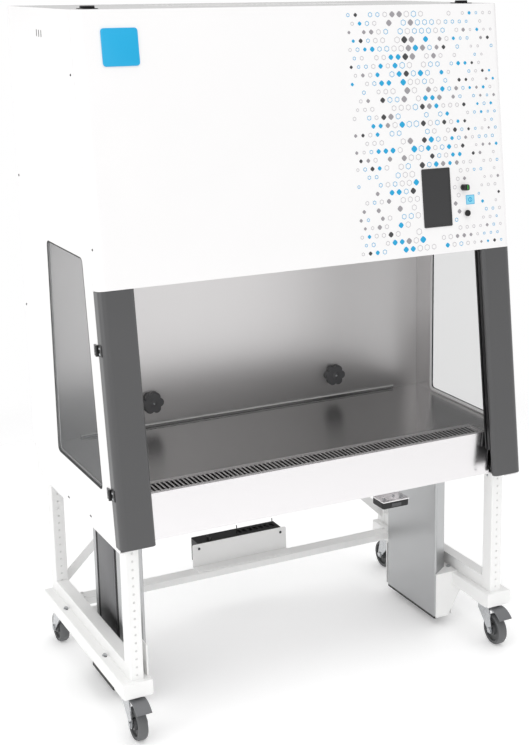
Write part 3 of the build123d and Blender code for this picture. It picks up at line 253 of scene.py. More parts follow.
@dataclass(frozen=True)
class BrushedSteel(Finish):
    """Stainless or aluminium with a belt-ground grain: highlights smear across the grain.

    The real grain is about 0.1 mm wide. It is drawn 1.5 mm wide so that some of it shows in the render.
    """

    grain: tuple[float, float, float] = (160.0, 1.5, 1.5)
    smear_axis: str = "X"
    smear: float = 0.5
    streaks: float = 0.05
    scratch_depth: float = 0.03

    def build(self) -> bpy.types.Material:
        """Builds the material."""
        material, tree, shader = self.shader(Metallic=1.0, Anisotropic=self.smear)
        grain = self.noise(tree, self.grain, 4.0)
        rough = add_node(tree, "ShaderNodeMapRange", {
            "Value": grain, "From Min": 0.3, "From Max": 0.7,
            "To Min": self.roughness - self.streaks / 2, "To Max": self.roughness + self.streaks / 2})
        tree.links.new(rough.outputs[0], shader.inputs["Roughness"])
        bump = add_node(tree, "ShaderNodeBump", {
            "Height": grain, "Strength": 0.03, "Distance": self.scratch_depth * MM})
        tree.links.new(bump.outputs[0], shader.inputs["Normal"])
        across = add_node(tree, "ShaderNodeTangent", direction_type="RADIAL", axis=self.smear_axis)
        tree.links.new(across.outputs[0], shader.inputs["Tangent"])
        return material


@dataclass(frozen=True)
class MouldedPlastic(Finish):
    """Injection-moulded plastic with a spark-eroded texture, which breaks up its highlights.

    The real pits are about 0.5 mm wide and are drawn a little coarser, so that they show.
    """

    pits: float = 0.8
    pit_depth: float = 0.1
    depth: float = 0.3
    patch: float = 40.0
    spread: float = 0.06

    def build(self) -> bpy.types.Material:
        """Builds the material."""
        material, tree, shader = self.shader()
        pits = self.noise(tree, self.pits, 3.0)
        bump = add_node(tree, "ShaderNodeBump", {
            "Height": pits, "Strength": self.depth, "Distance": self.pit_depth * MM})
        tree.links.new(bump.outputs[0], shader.inputs["Normal"])
        rough = add_node(tree, "ShaderNodeMapRange", {
            "Value": self.noise(tree, self.patch), "To Min": self.roughness - self.spread,
            "To Max": self.roughness + self.spread})
        tree.links.new(rough.outputs[0], shader.inputs["Roughness"])
        return material


@dataclass(frozen=True)
class FloatGlass(Finish):
    """Toughened float glass: clear, with a faint tint that deepens where it is seen at a slant."""

    clear: float = 0.1
    slant: float = 0.45
    edge_width: float = 0.35

    def build(self) -> bpy.types.Material:
        """Builds the material."""
        material, tree, shader = self.shader(IOR=1.5)
        slanted = add_node(tree, "ShaderNodeLayerWeight", {"Blend": self.edge_width})
        body = add_node(tree, "ShaderNodeMapRange", {
            "Value": slanted.outputs["Facing"], "To Min": self.clear, "To Max": self.slant})
        tree.links.new(body.outputs[0], shader.inputs["Alpha"])
        return material


@dataclass(frozen=True)
class ZincPlate(Finish):
    """Bright zinc plate on pressed steel, a little cloudy from the bath, in patches of about 8 mm."""

    cloud: float = 8.0
    spread: float = 0.08

    def build(self) -> bpy.types.Material:
        """Builds the material."""
        material, tree, shader = self.shader(Metallic=1.0)
        rough = add_node(tree, "ShaderNodeMapRange", {
            "Value": self.noise(tree, self.cloud, 4.0), "From Min": 0.3, "From Max": 0.7,
            "To Min": self.roughness - self.spread, "To Max": self.roughness + self.spread})
        tree.links.new(rough.outputs[0], shader.inputs["Roughness"])
        return material


@dataclass(frozen=True)
class PleatedPaper(Finish):
    """Glass-fibre filter paper in pleats about 3 mm apart, drawn twice as wide so that they show."""

    pleat: float = 6.0
    pleat_depth: float = 3.0
    # Colour of the painted shade at the bottom of each pleat's valley.
    painted_valley_shade: str = "#C9C9C4"

    def build(self) -> bpy.types.Material:
        """Builds the material."""
        material, tree, shader = self.shader()
        where = add_node(tree, "ShaderNodeTexCoord")
        pleats = add_node(tree, "ShaderNodeTexWave", {
            "Vector": where.outputs["Object"], "Scale": 1000 / self.pleat / (2 * math.pi),
            "Distortion": 0.2}, wave_type="BANDS", bands_direction="X")
        bump = add_node(tree, "ShaderNodeBump", {
            "Height": pleats.outputs[1], "Strength": 0.8, "Distance": self.pleat_depth * MM})
        tree.links.new(bump.outputs[0], shader.inputs["Normal"])
        # Painted shade: the colour darkens from each pleat's crest into its valley.
        shade = add_node(tree, "ShaderNodeMix", {
            "Factor": pleats.outputs[1], 6: linear(self.painted_valley_shade), 7: linear(self.colour)},
            data_type="RGBA")
        tree.links.new(shade.outputs[2], shader.inputs["Base Color"])
        return material


@dataclass(frozen=True)
class PrintedFilm(Finish):
    """Self-adhesive vinyl film, screen printed, with a satin face that is a little uneven."""

    speckle: float = 2.0
    spread: float = 0.05

    def build(self) -> bpy.types.Material:
        """Builds the material."""
        material, tree, shader = self.shader()
        rough = add_node(tree, "ShaderNodeMapRange", {
            "Value": self.noise(tree, self.speckle), "To Min": self.roughness - self.spread,
            "To Max": self.roughness + self.spread})
        tree.links.new(rough.outputs[0], shader.inputs["Roughness"])
        return material


@dataclass(frozen=True)
class Lens(Finish):
    """Tinted acrylic that glows a little, as a lamp diffuser or a marker does."""

    glow: float = 0.0
    cloud: float = 5.0
    haze: float = 0.08

    def build(self) -> bpy.types.Material:
        """Builds the material."""
        material, tree, shader = self.shader(Emission_Strength=self.glow, Coat_Weight=0.5)
        shader.inputs["Emission Color"].default_value = linear(self.colour)
        rough = add_node(tree, "ShaderNodeMapRange", {
            "Value": self.noise(tree, self.cloud), "To Min": self.roughness,
            "To Max": self.roughness + self.haze})
        tree.links.new(rough.outputs[0], shader.inputs["Roughness"])
        return material


class Palette(Enum):
    """Every finish on the cabinet."""

    # Powder coat, sprayed on degreased sheet and baked: clean colour with a soft sheen and no mirror image.
    SHELL_WHITE = PowderCoat("white powder coat", "#F4F3F3", 0.26)
    STAND_WHITE = PowderCoat("stand powder coat", "#F2F2F1", 0.34, peel=4.0, coat=0.1)
    TOP_WHITE = PowderCoat("white powder coat and hinge leaves", "#F4F3F3", 0.26, second="#161617",
                           past_axis="Z", past=2068.2)
    ANTHRACITE = PowderCoat("anthracite powder coat", "#505051", 0.4, second="#141415",
                            past_axis="X", past=670.1)
    BLACK_COAT = PowderCoat("black powder coat", "#161617", 0.4)

    # Stainless sheet, ground with a belt: light spreads into broad bands across the grain.
    BACK_STEEL = BrushedSteel("brushed stainless, grain upright", "#DEDCDC", 0.36, (1.5, 1.5, 160.0),
                              "Z", 0.7)
    DECK_STEEL = BrushedSteel("brushed stainless deck", "#CCCBCB", 0.26, streaks=0.01)
    GRILLE_STEEL = BrushedSteel("satin stainless grille", "#E6E4E5", 0.5, streaks=0.02)
    TUB_STEEL = BrushedSteel("polished stainless tub", "#EDEBEC", 0.22, smear=0.4, streaks=0.04)

    # Aluminium, extruded and anodised: a cool grey with fine die lines along its length.
    COLUMN = BrushedSteel("anodised aluminium extrusion", "#B9BABB", 0.32, (1.5, 1.5, 240.0), "Z", 0.6)
    COVER_DARK = BrushedSteel("dark anodised cover strip", "#6A6A6C", 0.34, (1.5, 1.5, 240.0), "Z", 0.5)

    # Steel, zinc plated in a bath or blackened in oil: small cloudy glints.
    BOX_STEEL = ZincPlate("galvanised sheet", "#B9BDBF", 0.4, cloud=22.0)
    ZINC = ZincPlate("zinc-plated steel", "#C4C6C8", 0.3)
    BOLT = ZincPlate("blackened bolt steel", "#5B5C5E", 0.35, cloud=3.0)

    # Plastic and rubber, moulded in textured tools: dull and even, with soft highlights.
    BLACK_ABS = MouldedPlastic("black ABS", "#1B1B1C", 0.5)
    # The grey nylon also serves as painted shade in the slots of the castor beams.
    GREY_NYLON_AND_SLOT_SHADE = MouldedPlastic("grey nylon and slot shade", "#4B4B4D", 0.5)
    WHEEL_GREY = MouldedPlastic("grey polyamide wheel", "#4E4F50", 0.48, pits=1.2)
    TREAD = MouldedPlastic("grey rubber tread", "#626364", 0.62, pits=1.5)
    PEDAL = MouldedPlastic("glass-filled polyamide pedal", "#707173", 0.4)
    FAN = MouldedPlastic("glass-filled nylon", "#2C2E30", 0.5)
    PLUG = MouldedPlastic("white plug", "#DCDCDB", 0.5)
    # The same black also stands in as painted shade in the grooves of the columns.
    SEAL_AND_GROOVE_SHADE = MouldedPlastic("black rubber seal", "#0C0C0D", 0.6)
    GUIDE = MouldedPlastic("black guide rail", "#18181A", 0.42, depth=0.1)

    # Silicone, drawn off with a wet finger: smooth and a little glossy.
    SILICONE = MouldedPlastic("grey silicone joint", "#C4C4C3", 0.45, depth=0.1)

    # The shade inside a hole, drawn as a matt dark face.
    HOLE = MouldedPlastic("dark opening", "#2A2A2B", 0.9)

    # Glass, floated and toughened: clear seen straight on, darker at a slant.
    SIDE_GLASS = FloatGlass("toughened side glass", "#5A6064", 0.03, 0.06, 0.3)
    SASH_GLASS = FloatGlass("laminated sash glass", "#5A6A68", 0.03, 0.08, 0.4)

    # Filter paper, folded and glued in its frame: matt white, with painted shade in its valleys.
    PAPER = PleatedPaper("filter paper", "#EFEFEA", 0.8)

    # Film and enamel, printed: flat strong colour with a satin face.
    BADGE = PrintedFilm("cyan enamel plate", "#0CA8DA", 0.42)
    PRINT_CYAN = PrintedFilm("cyan print", "#12A2D4", 0.45)
    PRINT_TINT = PrintedFilm("pale cyan print", "#86D2EC", 0.45)
    PRINT_DARK = PrintedFilm("dark grey print", "#444446", 0.45)
    PRINT_GREY = PrintedFilm("grey print", "#99969A", 0.45)
    PRINT_PALE = PrintedFilm("pale grey print", "#B9B6BA", 0.45)
    SCREEN = PrintedFilm("dark display glass", "#39393A", 0.3)

    # Acrylic, cast and tinted: a smooth face with a faint light of its own.
    GREEN = Lens("green marker", "#3FB549", 0.3, 0.05)
    DIFFUSER = Lens("opal lamp cover", "#F3F5F4", 0.35, 0.4)

    @property
    def material(self) -> bpy.types.Material:
        """The finish's material, built on first use."""
        known = bpy.data.materials.get(self.value.name)
        return known or self.value.build()


@dataclass
class Form:
    """One piece in the making: solids that share a mesh, each with its own finish."""

    name: str
    body: str
    finishes: Sequence[Palette]
    mesh: bmesh.types.BMesh = field(default_factory=bmesh.new)

    def take(self, part: bmesh.types.BMesh, where: Matrix, finish: int) -> None:
        """Adds a part built in local millimetres.

        Args:
            part: the part, which is freed.
            where: the matrix that places it.
            finish: number of its finish in the piece's list.
        """
        for face in part.faces:
            face.material_index = finish
            face.smooth = True
        part.transform(where)
        bmesh.ops.recalc_face_normals(part, faces=part.faces)
        carried = bpy.data.meshes.new("carried")
        part.to_mesh(carried)
        part.free()
        self.mesh.from_mesh(carried)
        bpy.data.meshes.remove(carried)

    def prism(self, outline: Iterable[tuple[float, float]], where: Matrix, height: float,
              bevel: float = 0.0, finish: int = 0, hole: Sequence[tuple[float, float]] = ()) -> None:
        """Adds a prism with softened edges.

        Args:
            outline: corners of its foot in local x and y, in mm.
            where: the matrix that places it.
            height: length along the local z.
            bevel: width of the softened edges, 0 for none.
            finish: number of its finish.
            hole: as many corners again, for a frame.
        """
        part = bmesh.new()
        rim = [part.verts.new((x, y, 0)) for x, y in outline]
        if hole:
            inner = [part.verts.new((x, y, 0)) for x, y in hole]
            feet = [part.faces.new((rim[i - 1], rim[i], inner[i], inner[i - 1])) for i in range(len(rim))]
        else:
            feet = [part.faces.new(rim)]
        top = bmesh.ops.extrude_face_region(part, geom=feet)["geom"]
        bmesh.ops.translate(part, verts=[v for v in top if isinstance(v, bmesh.types.BMVert)],
                            vec=(0, 0, height))
        if bevel:
            bmesh.ops.bevel(part, geom=part.edges[:], offset=bevel, segments=2, affect="EDGES",
                            profile=0.5)
        self.take(part, where, finish)

    def lathe(self, profile: Sequence[tuple[float, float]], where: Matrix, steps: int = 24,
              finish: int = 0) -> None:
        """Adds a turned solid.

        Args:
            profile: radius and height of each point, in mm, from one end to the other.
            where: the matrix that places it, its local z the axis.
            steps: number of facets round it.
            finish: number of its finish.
        """
        part = bmesh.new()
        rings = []
        for radius, height in profile:
            if radius == 0:
                rings.append([part.verts.new((0, 0, height))])
                continue
            turns = [2 * math.pi * i / steps for i in range(steps)]
            rings.append([part.verts.new((radius * math.cos(t), radius * math.sin(t), height))
                          for t in turns])
        for low, high in zip(rings, rings[1:]):
            for i in range(steps):
                corners = [low[i % len(low)], low[(i + 1) % len(low)],
                           high[(i + 1) % len(high)], high[i % len(high)]]
                part.faces.new(list(dict.fromkeys(corners)))
        self.take(part, where, finish)

    def flat(self, outline: Sequence[tuple[float, float]], where: Matrix, finish: int = 0,
             hole: Sequence[tuple[float, float]] = ()) -> None:
        """Adds a printed shape without thickness.

        Args:
            outline: corners in local x and y, in mm.
            where: the matrix that places it.
            finish: number of its finish.
            hole: as many corners again, for a ring.
        """
        part = bmesh.new()
        rim = [part.verts.new((x, y, 0)) for x, y in outline]
        if hole:
            inner = [part.verts.new((x, y, 0)) for x, y in hole]
            for i in range(len(rim)):
                j = (i + 1) % len(rim)
                part.faces.new((rim[i], rim[j], inner[j], inner[i]))
        else:
            part.faces.new(rim)
        self.take(part, where, finish)

    def done(self, sharp: float = 35.0) -> bpy.types.Object:
        """Turns the piece into an object that rides on its body.

        Args:
            sharp: edges that turn by more than this, in degrees, stay sharp.

        Returns:
            The new object.
        """
        data = bpy.data.meshes.new(self.name)
        for edge in self.mesh.edges:
            if len(edge.link_faces) == 2:
                edge.smooth = edge.calc_face_angle(0.0) < math.radians(sharp)
        self.mesh.to_mesh(data)
        self.mesh.free()
        for finish in self.finishes:
            data.materials.append(finish.material)
        made = bpy.data.objects.new(self.name, data)
        bpy.context.scene.collection.objects.link(made)
        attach(made, self.body)
        log.info("piece %s rides on %s", self.name, self.body)
        return made


def polygon(sides: int, radius: float, turn: float = 0.0) -> list[tuple[float, float]]:
    """Gives the corners of a regular polygon, first corner at this turn in degrees."""
    turns = [math.radians(turn) + 2 * math.pi * i / sides for i in range(sides)]
    return [(radius * math.cos(t), radius * math.sin(t)) for t in turns]


def rounded(width: float, height: float, radius: float, steps: int = 5) -> list[tuple[float, float]]:
    """Gives the corners of a rectangle with rounded corners, centred on the local origin."""
    corners = []
    for cx, cy, start in ((1, 1, 0), (-1, 1, 90), (-1, -1, 180), (1, -1, 270)):
        for i in range(steps + 1):
            t = math.radians(start + 90 * i / steps)
            corners.append((cx * (width / 2 - radius) + radius * math.cos(t),
                            cy * (height / 2 - radius) + radius * math.sin(t)))
    return corners


def button_head(form: Form, where: Matrix, diameter: float, finish: int = 0) -> None:
    """Adds a domed screw head with a socket in it, seated at the local origin."""
    r, h = diameter / 2, diameter * 0.28
    form.lathe([(0, h * 0.45), (r * 0.34, h * 0.45), (r * 0.4, h), (r * 0.72, h * 0.82),
                (r * 0.94, h * 0.4), (r, 0), (0, 0)], where, 20, finish)


def hex_head(form: Form, where: Matrix, across: float, finish: int = 0) -> None:
    """Adds a hexagon bolt head on a washer, seated at the local origin."""
    washer, rim = 1.4, across * 0.76
    form.lathe([(0, washer), (across * 0.72, washer), (rim, 1.0), (rim, 0), (0, 0)], where, 24, finish)
    form.prism(polygon(6, across / 2 / math.cos(math.pi / 6)), where @ Matrix.Translation((0, 0, washer)),
               across * 0.45, across * 0.05, finish)


def dress(finish: Palette, *nodes: str) -> None:
    """Gives CAD parts their finish."""
    for name in nodes:
        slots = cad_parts[name].data.materials
        slots.clear()
        slots.append(finish.material)


def both(part: str) -> tuple[str, str]:
    """The names of a left and right pair of CAD parts."""
    return f"left_{part}", f"right_{part}"


@dataclass
class Shell:
    """White folded casing, its side windows and the small fixings in it."""

    # Side window: y of its rear edge, z of its foot and head, then y of its front edge at foot and head.
    window: tuple[float, float, float] = (127.2, 746.5, 1400.0)
    window_front: tuple[float, float] = (-282.87, -199.84)
    window_radius: float = 19.0
    # Printed border of the glass, broad at the rear and foot, narrow at the front's foot and head.
    border: float = 10.0
    border_front: tuple[float, float] = (5.0, 4.0)
    border_inset: float = 0.6
    glass_radius: float = 14.0
    print_proud: float = 0.15
    # White frame behind the glass.
    frame_depth: float = 6.05
    frame_sheet: float = 1.2
    # Screws and slots in a side panel, by y and z, the slots with their length.
    screws: tuple[tuple[float, float], ...] = ((-182.8, 1896.0), (379.2, 1561.0), (-295.2, 1438.0),
                                               (381.6, 1154.0))
    slots: tuple[tuple[float, float, float], ...] = ((109.0, 1998.0, 20.0), (66.5, 1997.0, 20.0),
                                                     (88.0, 1997.0, 20.0))
    foot_slots: tuple[tuple[float, float], ...] = ((46.4, 621.0), (-159.3, 630.0))
    foot_slot_length: float = 16.0
    slot_width: float = 5.0
    slot_radius: float = 2.4
    slot_proud: float = 0.25
    screw_head: float = 7.0
    # Hinges of the covers beside the opening: heights on the skin, and how far back each leaf's screws are.
    hinge_heights: tuple[float, float] = (765.0, 1166.0)
    moving_leaf_depth: float = 30.0
    fixed_leaf_depth: float = 64.0
    leaf_proud: float = 2.5
    leaf_screw: float = 7.5
    leaf_screw_step: float = 8.0

    def build(self) -> None:
        """Dresses the casing and adds its fixings."""
        dress(Palette.SHELL_WHITE, *both("side_panel"), "rear_panel")
        dress(Palette.TOP_WHITE, "top_panel", "front_panel")
        dress(Palette.ANTHRACITE, *both("pillar"))
        dress(Palette.BLACK_COAT, *both("pillar_hinges"))
        dress(Palette.SIDE_GLASS, *both("side_window"))
        for side in Side:
            self.window_border(side)
            self.side_fixings(side)
            self.hinge_screws(side)

    def window_border(self, side: Side) -> None:
        """Adds a side window's black printed border, broad at the rear and foot, and its inner frame."""
        rear, low, high = self.window
        low_front, high_front = self.window_front
        gap, b = self.border_inset, self.border
        low_b, high_b = self.border_front
        outer = self.round_corners([(rear - gap, low + gap), (rear - gap, high - gap),
                                    (high_front + gap, high - gap), (low_front + gap, low + gap)],
                                   self.window_radius)
        inner = self.round_corners([(rear - b, low + b), (rear - b, high - high_b),
                                    (high_front + high_b, high - high_b), (low_front + low_b, low + b)],
                                   self.glass_radius)
        flip = -1 if side is Side.LEFT else 1
        outer, inner = ([(flip * y, z) for y, z in ring] for ring in (outer, inner))
        border = Form(f"{side.word}_window_border", "cabinet", [Palette.SEAL_AND_GROOVE_SHADE])
        border.flat(outer, place(side.value * (HALF_WIDTH + self.print_proud), 0, 0, side.outward), 0, inner)
        border.done()
        lining = Form(f"{side.word}_window_frame", "cabinet", [Palette.SHELL_WHITE])
        lining.prism(outer, place(side.value * (HALF_WIDTH - self.frame_depth), 0, 0, side.outward),
                     -self.frame_sheet, 0.0, 0, inner)
        lining.done()

    @staticmethod
    def round_corners(points: Sequence[tuple[float, float]], radius: float,
                      steps: int = 6) -> list[tuple[float, float]]:
        """Rounds the corners of a four-sided outline.

        Args:
            points: its corners, in mm.
            radius: radius at each corner.
            steps: points along each rounded corner.

        Returns:
            The rounded outline, steps points for each corner.
        """
        out = []
        for i, here in enumerate(points):
            corner = Vector(here)
            before = (Vector(points[i - 1]) - corner).normalized()
            after = (Vector(points[(i + 1) % len(points)]) - corner).normalized()
            half = before.angle(after) / 2
            reach = radius / math.tan(half)
            for k in range(steps):
                t = k / (steps - 1)
                a, b = corner + before * reach, corner + after * reach
                out.append(tuple((1 - t) ** 2 * a + 2 * t * (1 - t) * corner + t ** 2 * b))
        return out

    def side_fixings(self, side: Side) -> None:
        """Adds the screws and short slots of a side panel."""
        form = Form(f"{side.word}_side_fixings", "cabinet", [Palette.BOLT, Palette.HOLE])
        x = side.value * HALF_WIDTH
        for y, z in self.screws:
            button_head(form, place(x, y, z, side.outward), self.screw_head)
        for y, z, length in self.slots:
            form.prism(rounded(self.slot_width, length, self.slot_radius), place(x, y, z, side.outward),
                       self.slot_proud, 0.0, 1)
        for y, z in self.foot_slots:
            form.prism(rounded(self.foot_slot_length, self.slot_width, self.slot_radius),
                       place(x, y, z, side.outward), self.slot_proud, 0.0, 1)
        form.done()

    def hinge_screws(self, side: Side) -> None:
        """Adds two light screws to each leaf of a pillar's hinges."""
        x = side.value * (HALF_WIDTH + self.leaf_proud)
        for word, body, depth in (("moving", f"{side.word}_pillar", self.moving_leaf_depth),
                                  ("fixed", "cabinet", self.fixed_leaf_depth)):
            form = Form(f"{side.word}_{word}_hinge_screws", body, [Palette.ZINC])
            for height in self.hinge_heights:
                for step in (-self.leaf_screw_step, self.leaf_screw_step):
                    z = height + step - depth * math.sin(LEAN)
                    y = SKIN_FOOT_Y + (height - SKIN_FOOT_Z) * math.tan(LEAN) + depth * math.cos(LEAN)
                    y += step * math.tan(LEAN)
                    button_head(form, place(x, y, z, side.outward), self.leaf_screw)
            form.done()


@dataclass
class FrontPrint:
    """Badge, printed pattern and the label on the front panel."""

    badge_at: tuple[float, float] = (-551.0, 1969.0)
    badge_size: tuple[float, float] = (104.0, 101.0)
    badge_radius: float = 9.0
    badge_sheet: float = 3.0
    badge_edge: float = 0.8
    # The pattern's field, and the gaps in it as left, right, low and high.
    field_x: tuple[float, float] = (146.0, 640.0)
    field_z: tuple[float, float] = (1352.0, 2052.0)
    display_gap: tuple[float, float, float, float] = (350.0, 476.0, 1398.0, 1598.0)
    controls_gap: tuple[float, float, float, float] = (496.0, 556.0, 1424.0, 1540.0)
    pitch: float = 24.6
    # How much of the field is filled, how much of that is squares, and how the inks share them.
    filled: float = 0.78
    squares: float = 0.4
    square_inks: tuple[float, float, float] = (0.4, 0.18, 0.42)
    ring_inks: tuple[float, float] = (0.45, 0.55)
    # Sizes at the field's edges, how much they grow at its middle, and where that is across it.
    smallest: tuple[float, float] = (8.5, 11.5)
    swell: float = 10.5
    swell_middle: float = 0.4
    swell_reach: float = 0.45
    square_side: float = 0.84
    square_corner: float = 0.26
    ring_line: float = 1.9
    label_at: tuple[float, float] = (531.5, 1483.0)
    label_size: tuple[float, float] = (31.0, 29.0)
    label_field: tuple[float, float] = (27.5, 25.5)
    label_ring: tuple[float, float] = (7.5, 5.0)
    label_bar: tuple[float, float] = (2.4, 9.0)
    proud: float = 0.15
    overprint: float = 0.05
    seed: int = 11

    def build(self) -> None:
        """Adds the badge, the pattern and the label."""
        badge = Form("front_badge", "front_panel", [Palette.BADGE])
        badge.prism(rounded(*self.badge_size, self.badge_radius), on_skin(*self.badge_at),
                    self.badge_sheet, self.badge_edge)
        badge.done()
        self.pattern()
        self.label()

    def pattern(self) -> None:
        """Adds a scatter of small rounded squares and six-sided rings on staggered rows."""
        chance = random.Random(self.seed)
        inks = [Palette.PRINT_CYAN, Palette.PRINT_DARK, Palette.PRINT_GREY, Palette.PRINT_PALE]
        form = Form("front_pattern", "front_panel", inks)
        x_low, x_high = self.field_x
        z_low, z_high = self.field_z
        rows = int((z_high - z_low) / self.pitch) + 1
        columns = int((x_high - x_low) / self.pitch) + 1
        for row in range(rows):
            for column in range(columns):
                x = x_low + (column + 0.5 * (row % 2)) * self.pitch
                z = z_low + row * self.pitch
                if x > x_high or self.is_covered(x, z) or chance.random() > self.filled:
                    continue
                self.motif(form, chance, x, z)
        form.done()

    def is_covered(self, x: float, z: float) -> bool:
        """Tells whether a place lies under the display or the controls."""
        return any(left < x < right and low < z < high
                   for left, right, low, high in (self.display_gap, self.controls_gap))

    def motif(self, form: Form, chance: random.Random, x: float, z: float) -> None:
        """Adds one rounded square or one ring, larger near the middle of the field.

        Args:
            form: the piece it belongs to.
            chance: the pattern's own random numbers.
            x: across the object, in mm.
            z: height on the skin, in mm.
        """
        x_low, x_high = self.field_x
        across = (x - x_low) / (x_high - x_low)
        middle = max(0.0, 1 - abs(across - self.swell_middle) / self.swell_reach)
        size = chance.uniform(*self.smallest) + self.swell * middle
        if chance.random() < self.squares:
            ink = chance.choices((0, 1, 2), self.square_inks)[0]
            side = size * self.square_side
            form.flat(rounded(side, side, size * self.square_corner), on_skin(x, z, self.proud, 45.0), ink)
        else:
            ink = chance.choices((0, 3), self.ring_inks)[0]
            form.flat(polygon(6, size / 2), on_skin(x, z, self.proud, 30.0), ink,
                      polygon(6, size / 2 - self.ring_line))

    def label(self) -> None:
        """Adds the small square label beside the controls, with a plain ring and bar on it."""
        form = Form("control_label", "front_panel", [Palette.PRINT_CYAN, Palette.PRINT_TINT])
        where = on_skin(*self.label_at, self.proud)
        upper = on_skin(*self.label_at, self.proud + self.overprint)
        inside = rounded(*self.label_field, 1.6)
        form.flat(inside, where, 1)
        form.flat(rounded(*self.label_size, 2.0), where, 0, inside)
        outer, inner = self.label_ring
        form.flat(polygon(16, outer), upper, 0, polygon(16, inner))
        form.flat(rounded(*self.label_bar, 1.1), upper, 0)
        form.done()


@dataclass
class Controls:
    """Display, selector knob, push button, and the handset with its hanger."""

    knob_at: tuple[float, float] = (508.0, 1521.5)
    knob_face: float = 27.3
    button_at: tuple[float, float] = (517.0, 1443.0)
    button_face: float = 8.2
    # Bolts that hold the handset's hanger, and the one at the right end of the apron's lip.
    hanger_bolts: tuple[tuple[float, float], ...] = ((215.0, -330.0), (276.0, -330.0), (256.0, -316.0))
    hanger_top: float = 571.0
    hanger_bolt_size: float = 7.0
    lip_bolt: tuple[float, float, float] = (560.0, -388.0, 607.5)
    lip_bolt_size: float = 8.0

    def build(self) -> None:
        """Dresses the controls and adds their small parts."""
        dress(Palette.SCREEN, "display")
        dress(Palette.BLACK_ABS, "selector_knob", "push_button", "handset", "control_box")
        dress(Palette.GREY_NYLON_AND_SLOT_SHADE, "handset_rocker")
        knob = Form("knob_marker", "selector_knob", [Palette.GREEN])
        knob.prism(rounded(3.0, 14.0, 1.4), on_skin(*self.knob_at, self.knob_face), 0.5, 0.15)
        knob.done()
        button = Form("button_face", "push_button", [Palette.BLACK_ABS])
        button.lathe([(0, 0.4), (6.4, 0.4), (7.0, 0.9), (7.4, 0.0)],
                     on_skin(*self.button_at, self.button_face), 28)
        button.done()
        hanger = Form("hanger_bolts", "cabinet", [Palette.ZINC])
        for x, y in self.hanger_bolts:
            hex_head(hanger, place(x, y, self.hanger_top), self.hanger_bolt_size)
        button_head(hanger, place(*self.lip_bolt, Facing.FRONT), self.lip_bolt_size)
        hanger.done()


@dataclass
class Chamber:
    """Stainless work chamber, sash and what stands behind the skin."""

    port_x: float = 330.5
    port_height: float = 825.0
    cap_face: float = 197.7
    tip_height: float = 2.4
    # Worktop with the joint on its upturned rear edge and the two rows of suction holes before it.
    deck_width: float = 1137.0
    deck_top: float = 743.4
    upstand_face: float = 219.1
    joint_width: float = 4.0
    joint_offset: float = 1.7
    joint_foot: float = 6.0
    joint_height: float = 4.4
    hole_rows: tuple[float, float] = (207.0, 190.0)
    hole_pitch: float = 13.5
    hole_size: tuple[float, float] = (7.0, 6.0)
    hole_margin: float = 12.0
    mouth_proud: float = 0.1

    def build(self) -> None:
        """Dresses the chamber, and adds its rear joint and the tips of the port caps."""
        dress(Palette.BACK_STEEL, "back_wall")
        dress(Palette.DECK_STEEL, "worktop", *both("side_sill"))
        dress(Palette.GRILLE_STEEL, "front_grille")
        dress(Palette.TUB_STEEL, "base_tub")
        dress(Palette.GUIDE, *both("sash_guide"))
        dress(Palette.SASH_GLASS, "sash_glass")
        dress(Palette.GREY_NYLON_AND_SLOT_SHADE, *both("port_cap"))
        dress(Palette.PAPER, "downflow_filter", "exhaust_filter")
        dress(Palette.BOX_STEEL, "air_box")
        dress(Palette.FAN, *both("impeller"))
        dress(Palette.DIFFUSER, "lamp")
        self.rear_edge()
        for side in Side:
            self.cap_tip(side)

    def rear_edge(self) -> None:
        """Adds the joint along the worktop's upstand and the dark mouths of its suction holes."""
        joint = Form("worktop_joint", "cabinet", [Palette.SILICONE])
        where = place(0, self.upstand_face - self.joint_offset, self.deck_top + self.joint_foot)
        joint.prism(rounded(self.deck_width, self.joint_width, 1.6, 3), where, self.joint_height)
        joint.done()
        mouths = Form("suction_holes", "cabinet", [Palette.HOLE])
        count = int((self.deck_width - 2 * self.hole_margin) / self.hole_pitch)
        for y in self.hole_rows:
            for i in range(count):
                x = (i - (count - 1) / 2) * self.hole_pitch
                mouths.flat(rounded(*self.hole_size, 1.0, 2), place(x, y, self.deck_top + self.mouth_proud))
        mouths.done()

    def cap_tip(self, side: Side) -> None:
        """Adds the raised centre of a port cap and the screw in it."""
        tip = Form(f"{side.word}_port_cap_face", f"{side.word}_port_cap", [Palette.GREY_NYLON_AND_SLOT_SHADE, Palette.ZINC])
        where = place(side.value * self.port_x, self.cap_face, self.port_height, Facing.FRONT)
        height = self.tip_height
        tip.lathe([(0, height), (9.0, height), (11.0, height / 2), (12.0, 0.0), (0, 0)], where, 28)
        button_head(tip, where @ Matrix.Translation((0, 0, height)), 7.0, 1)
        tip.done()


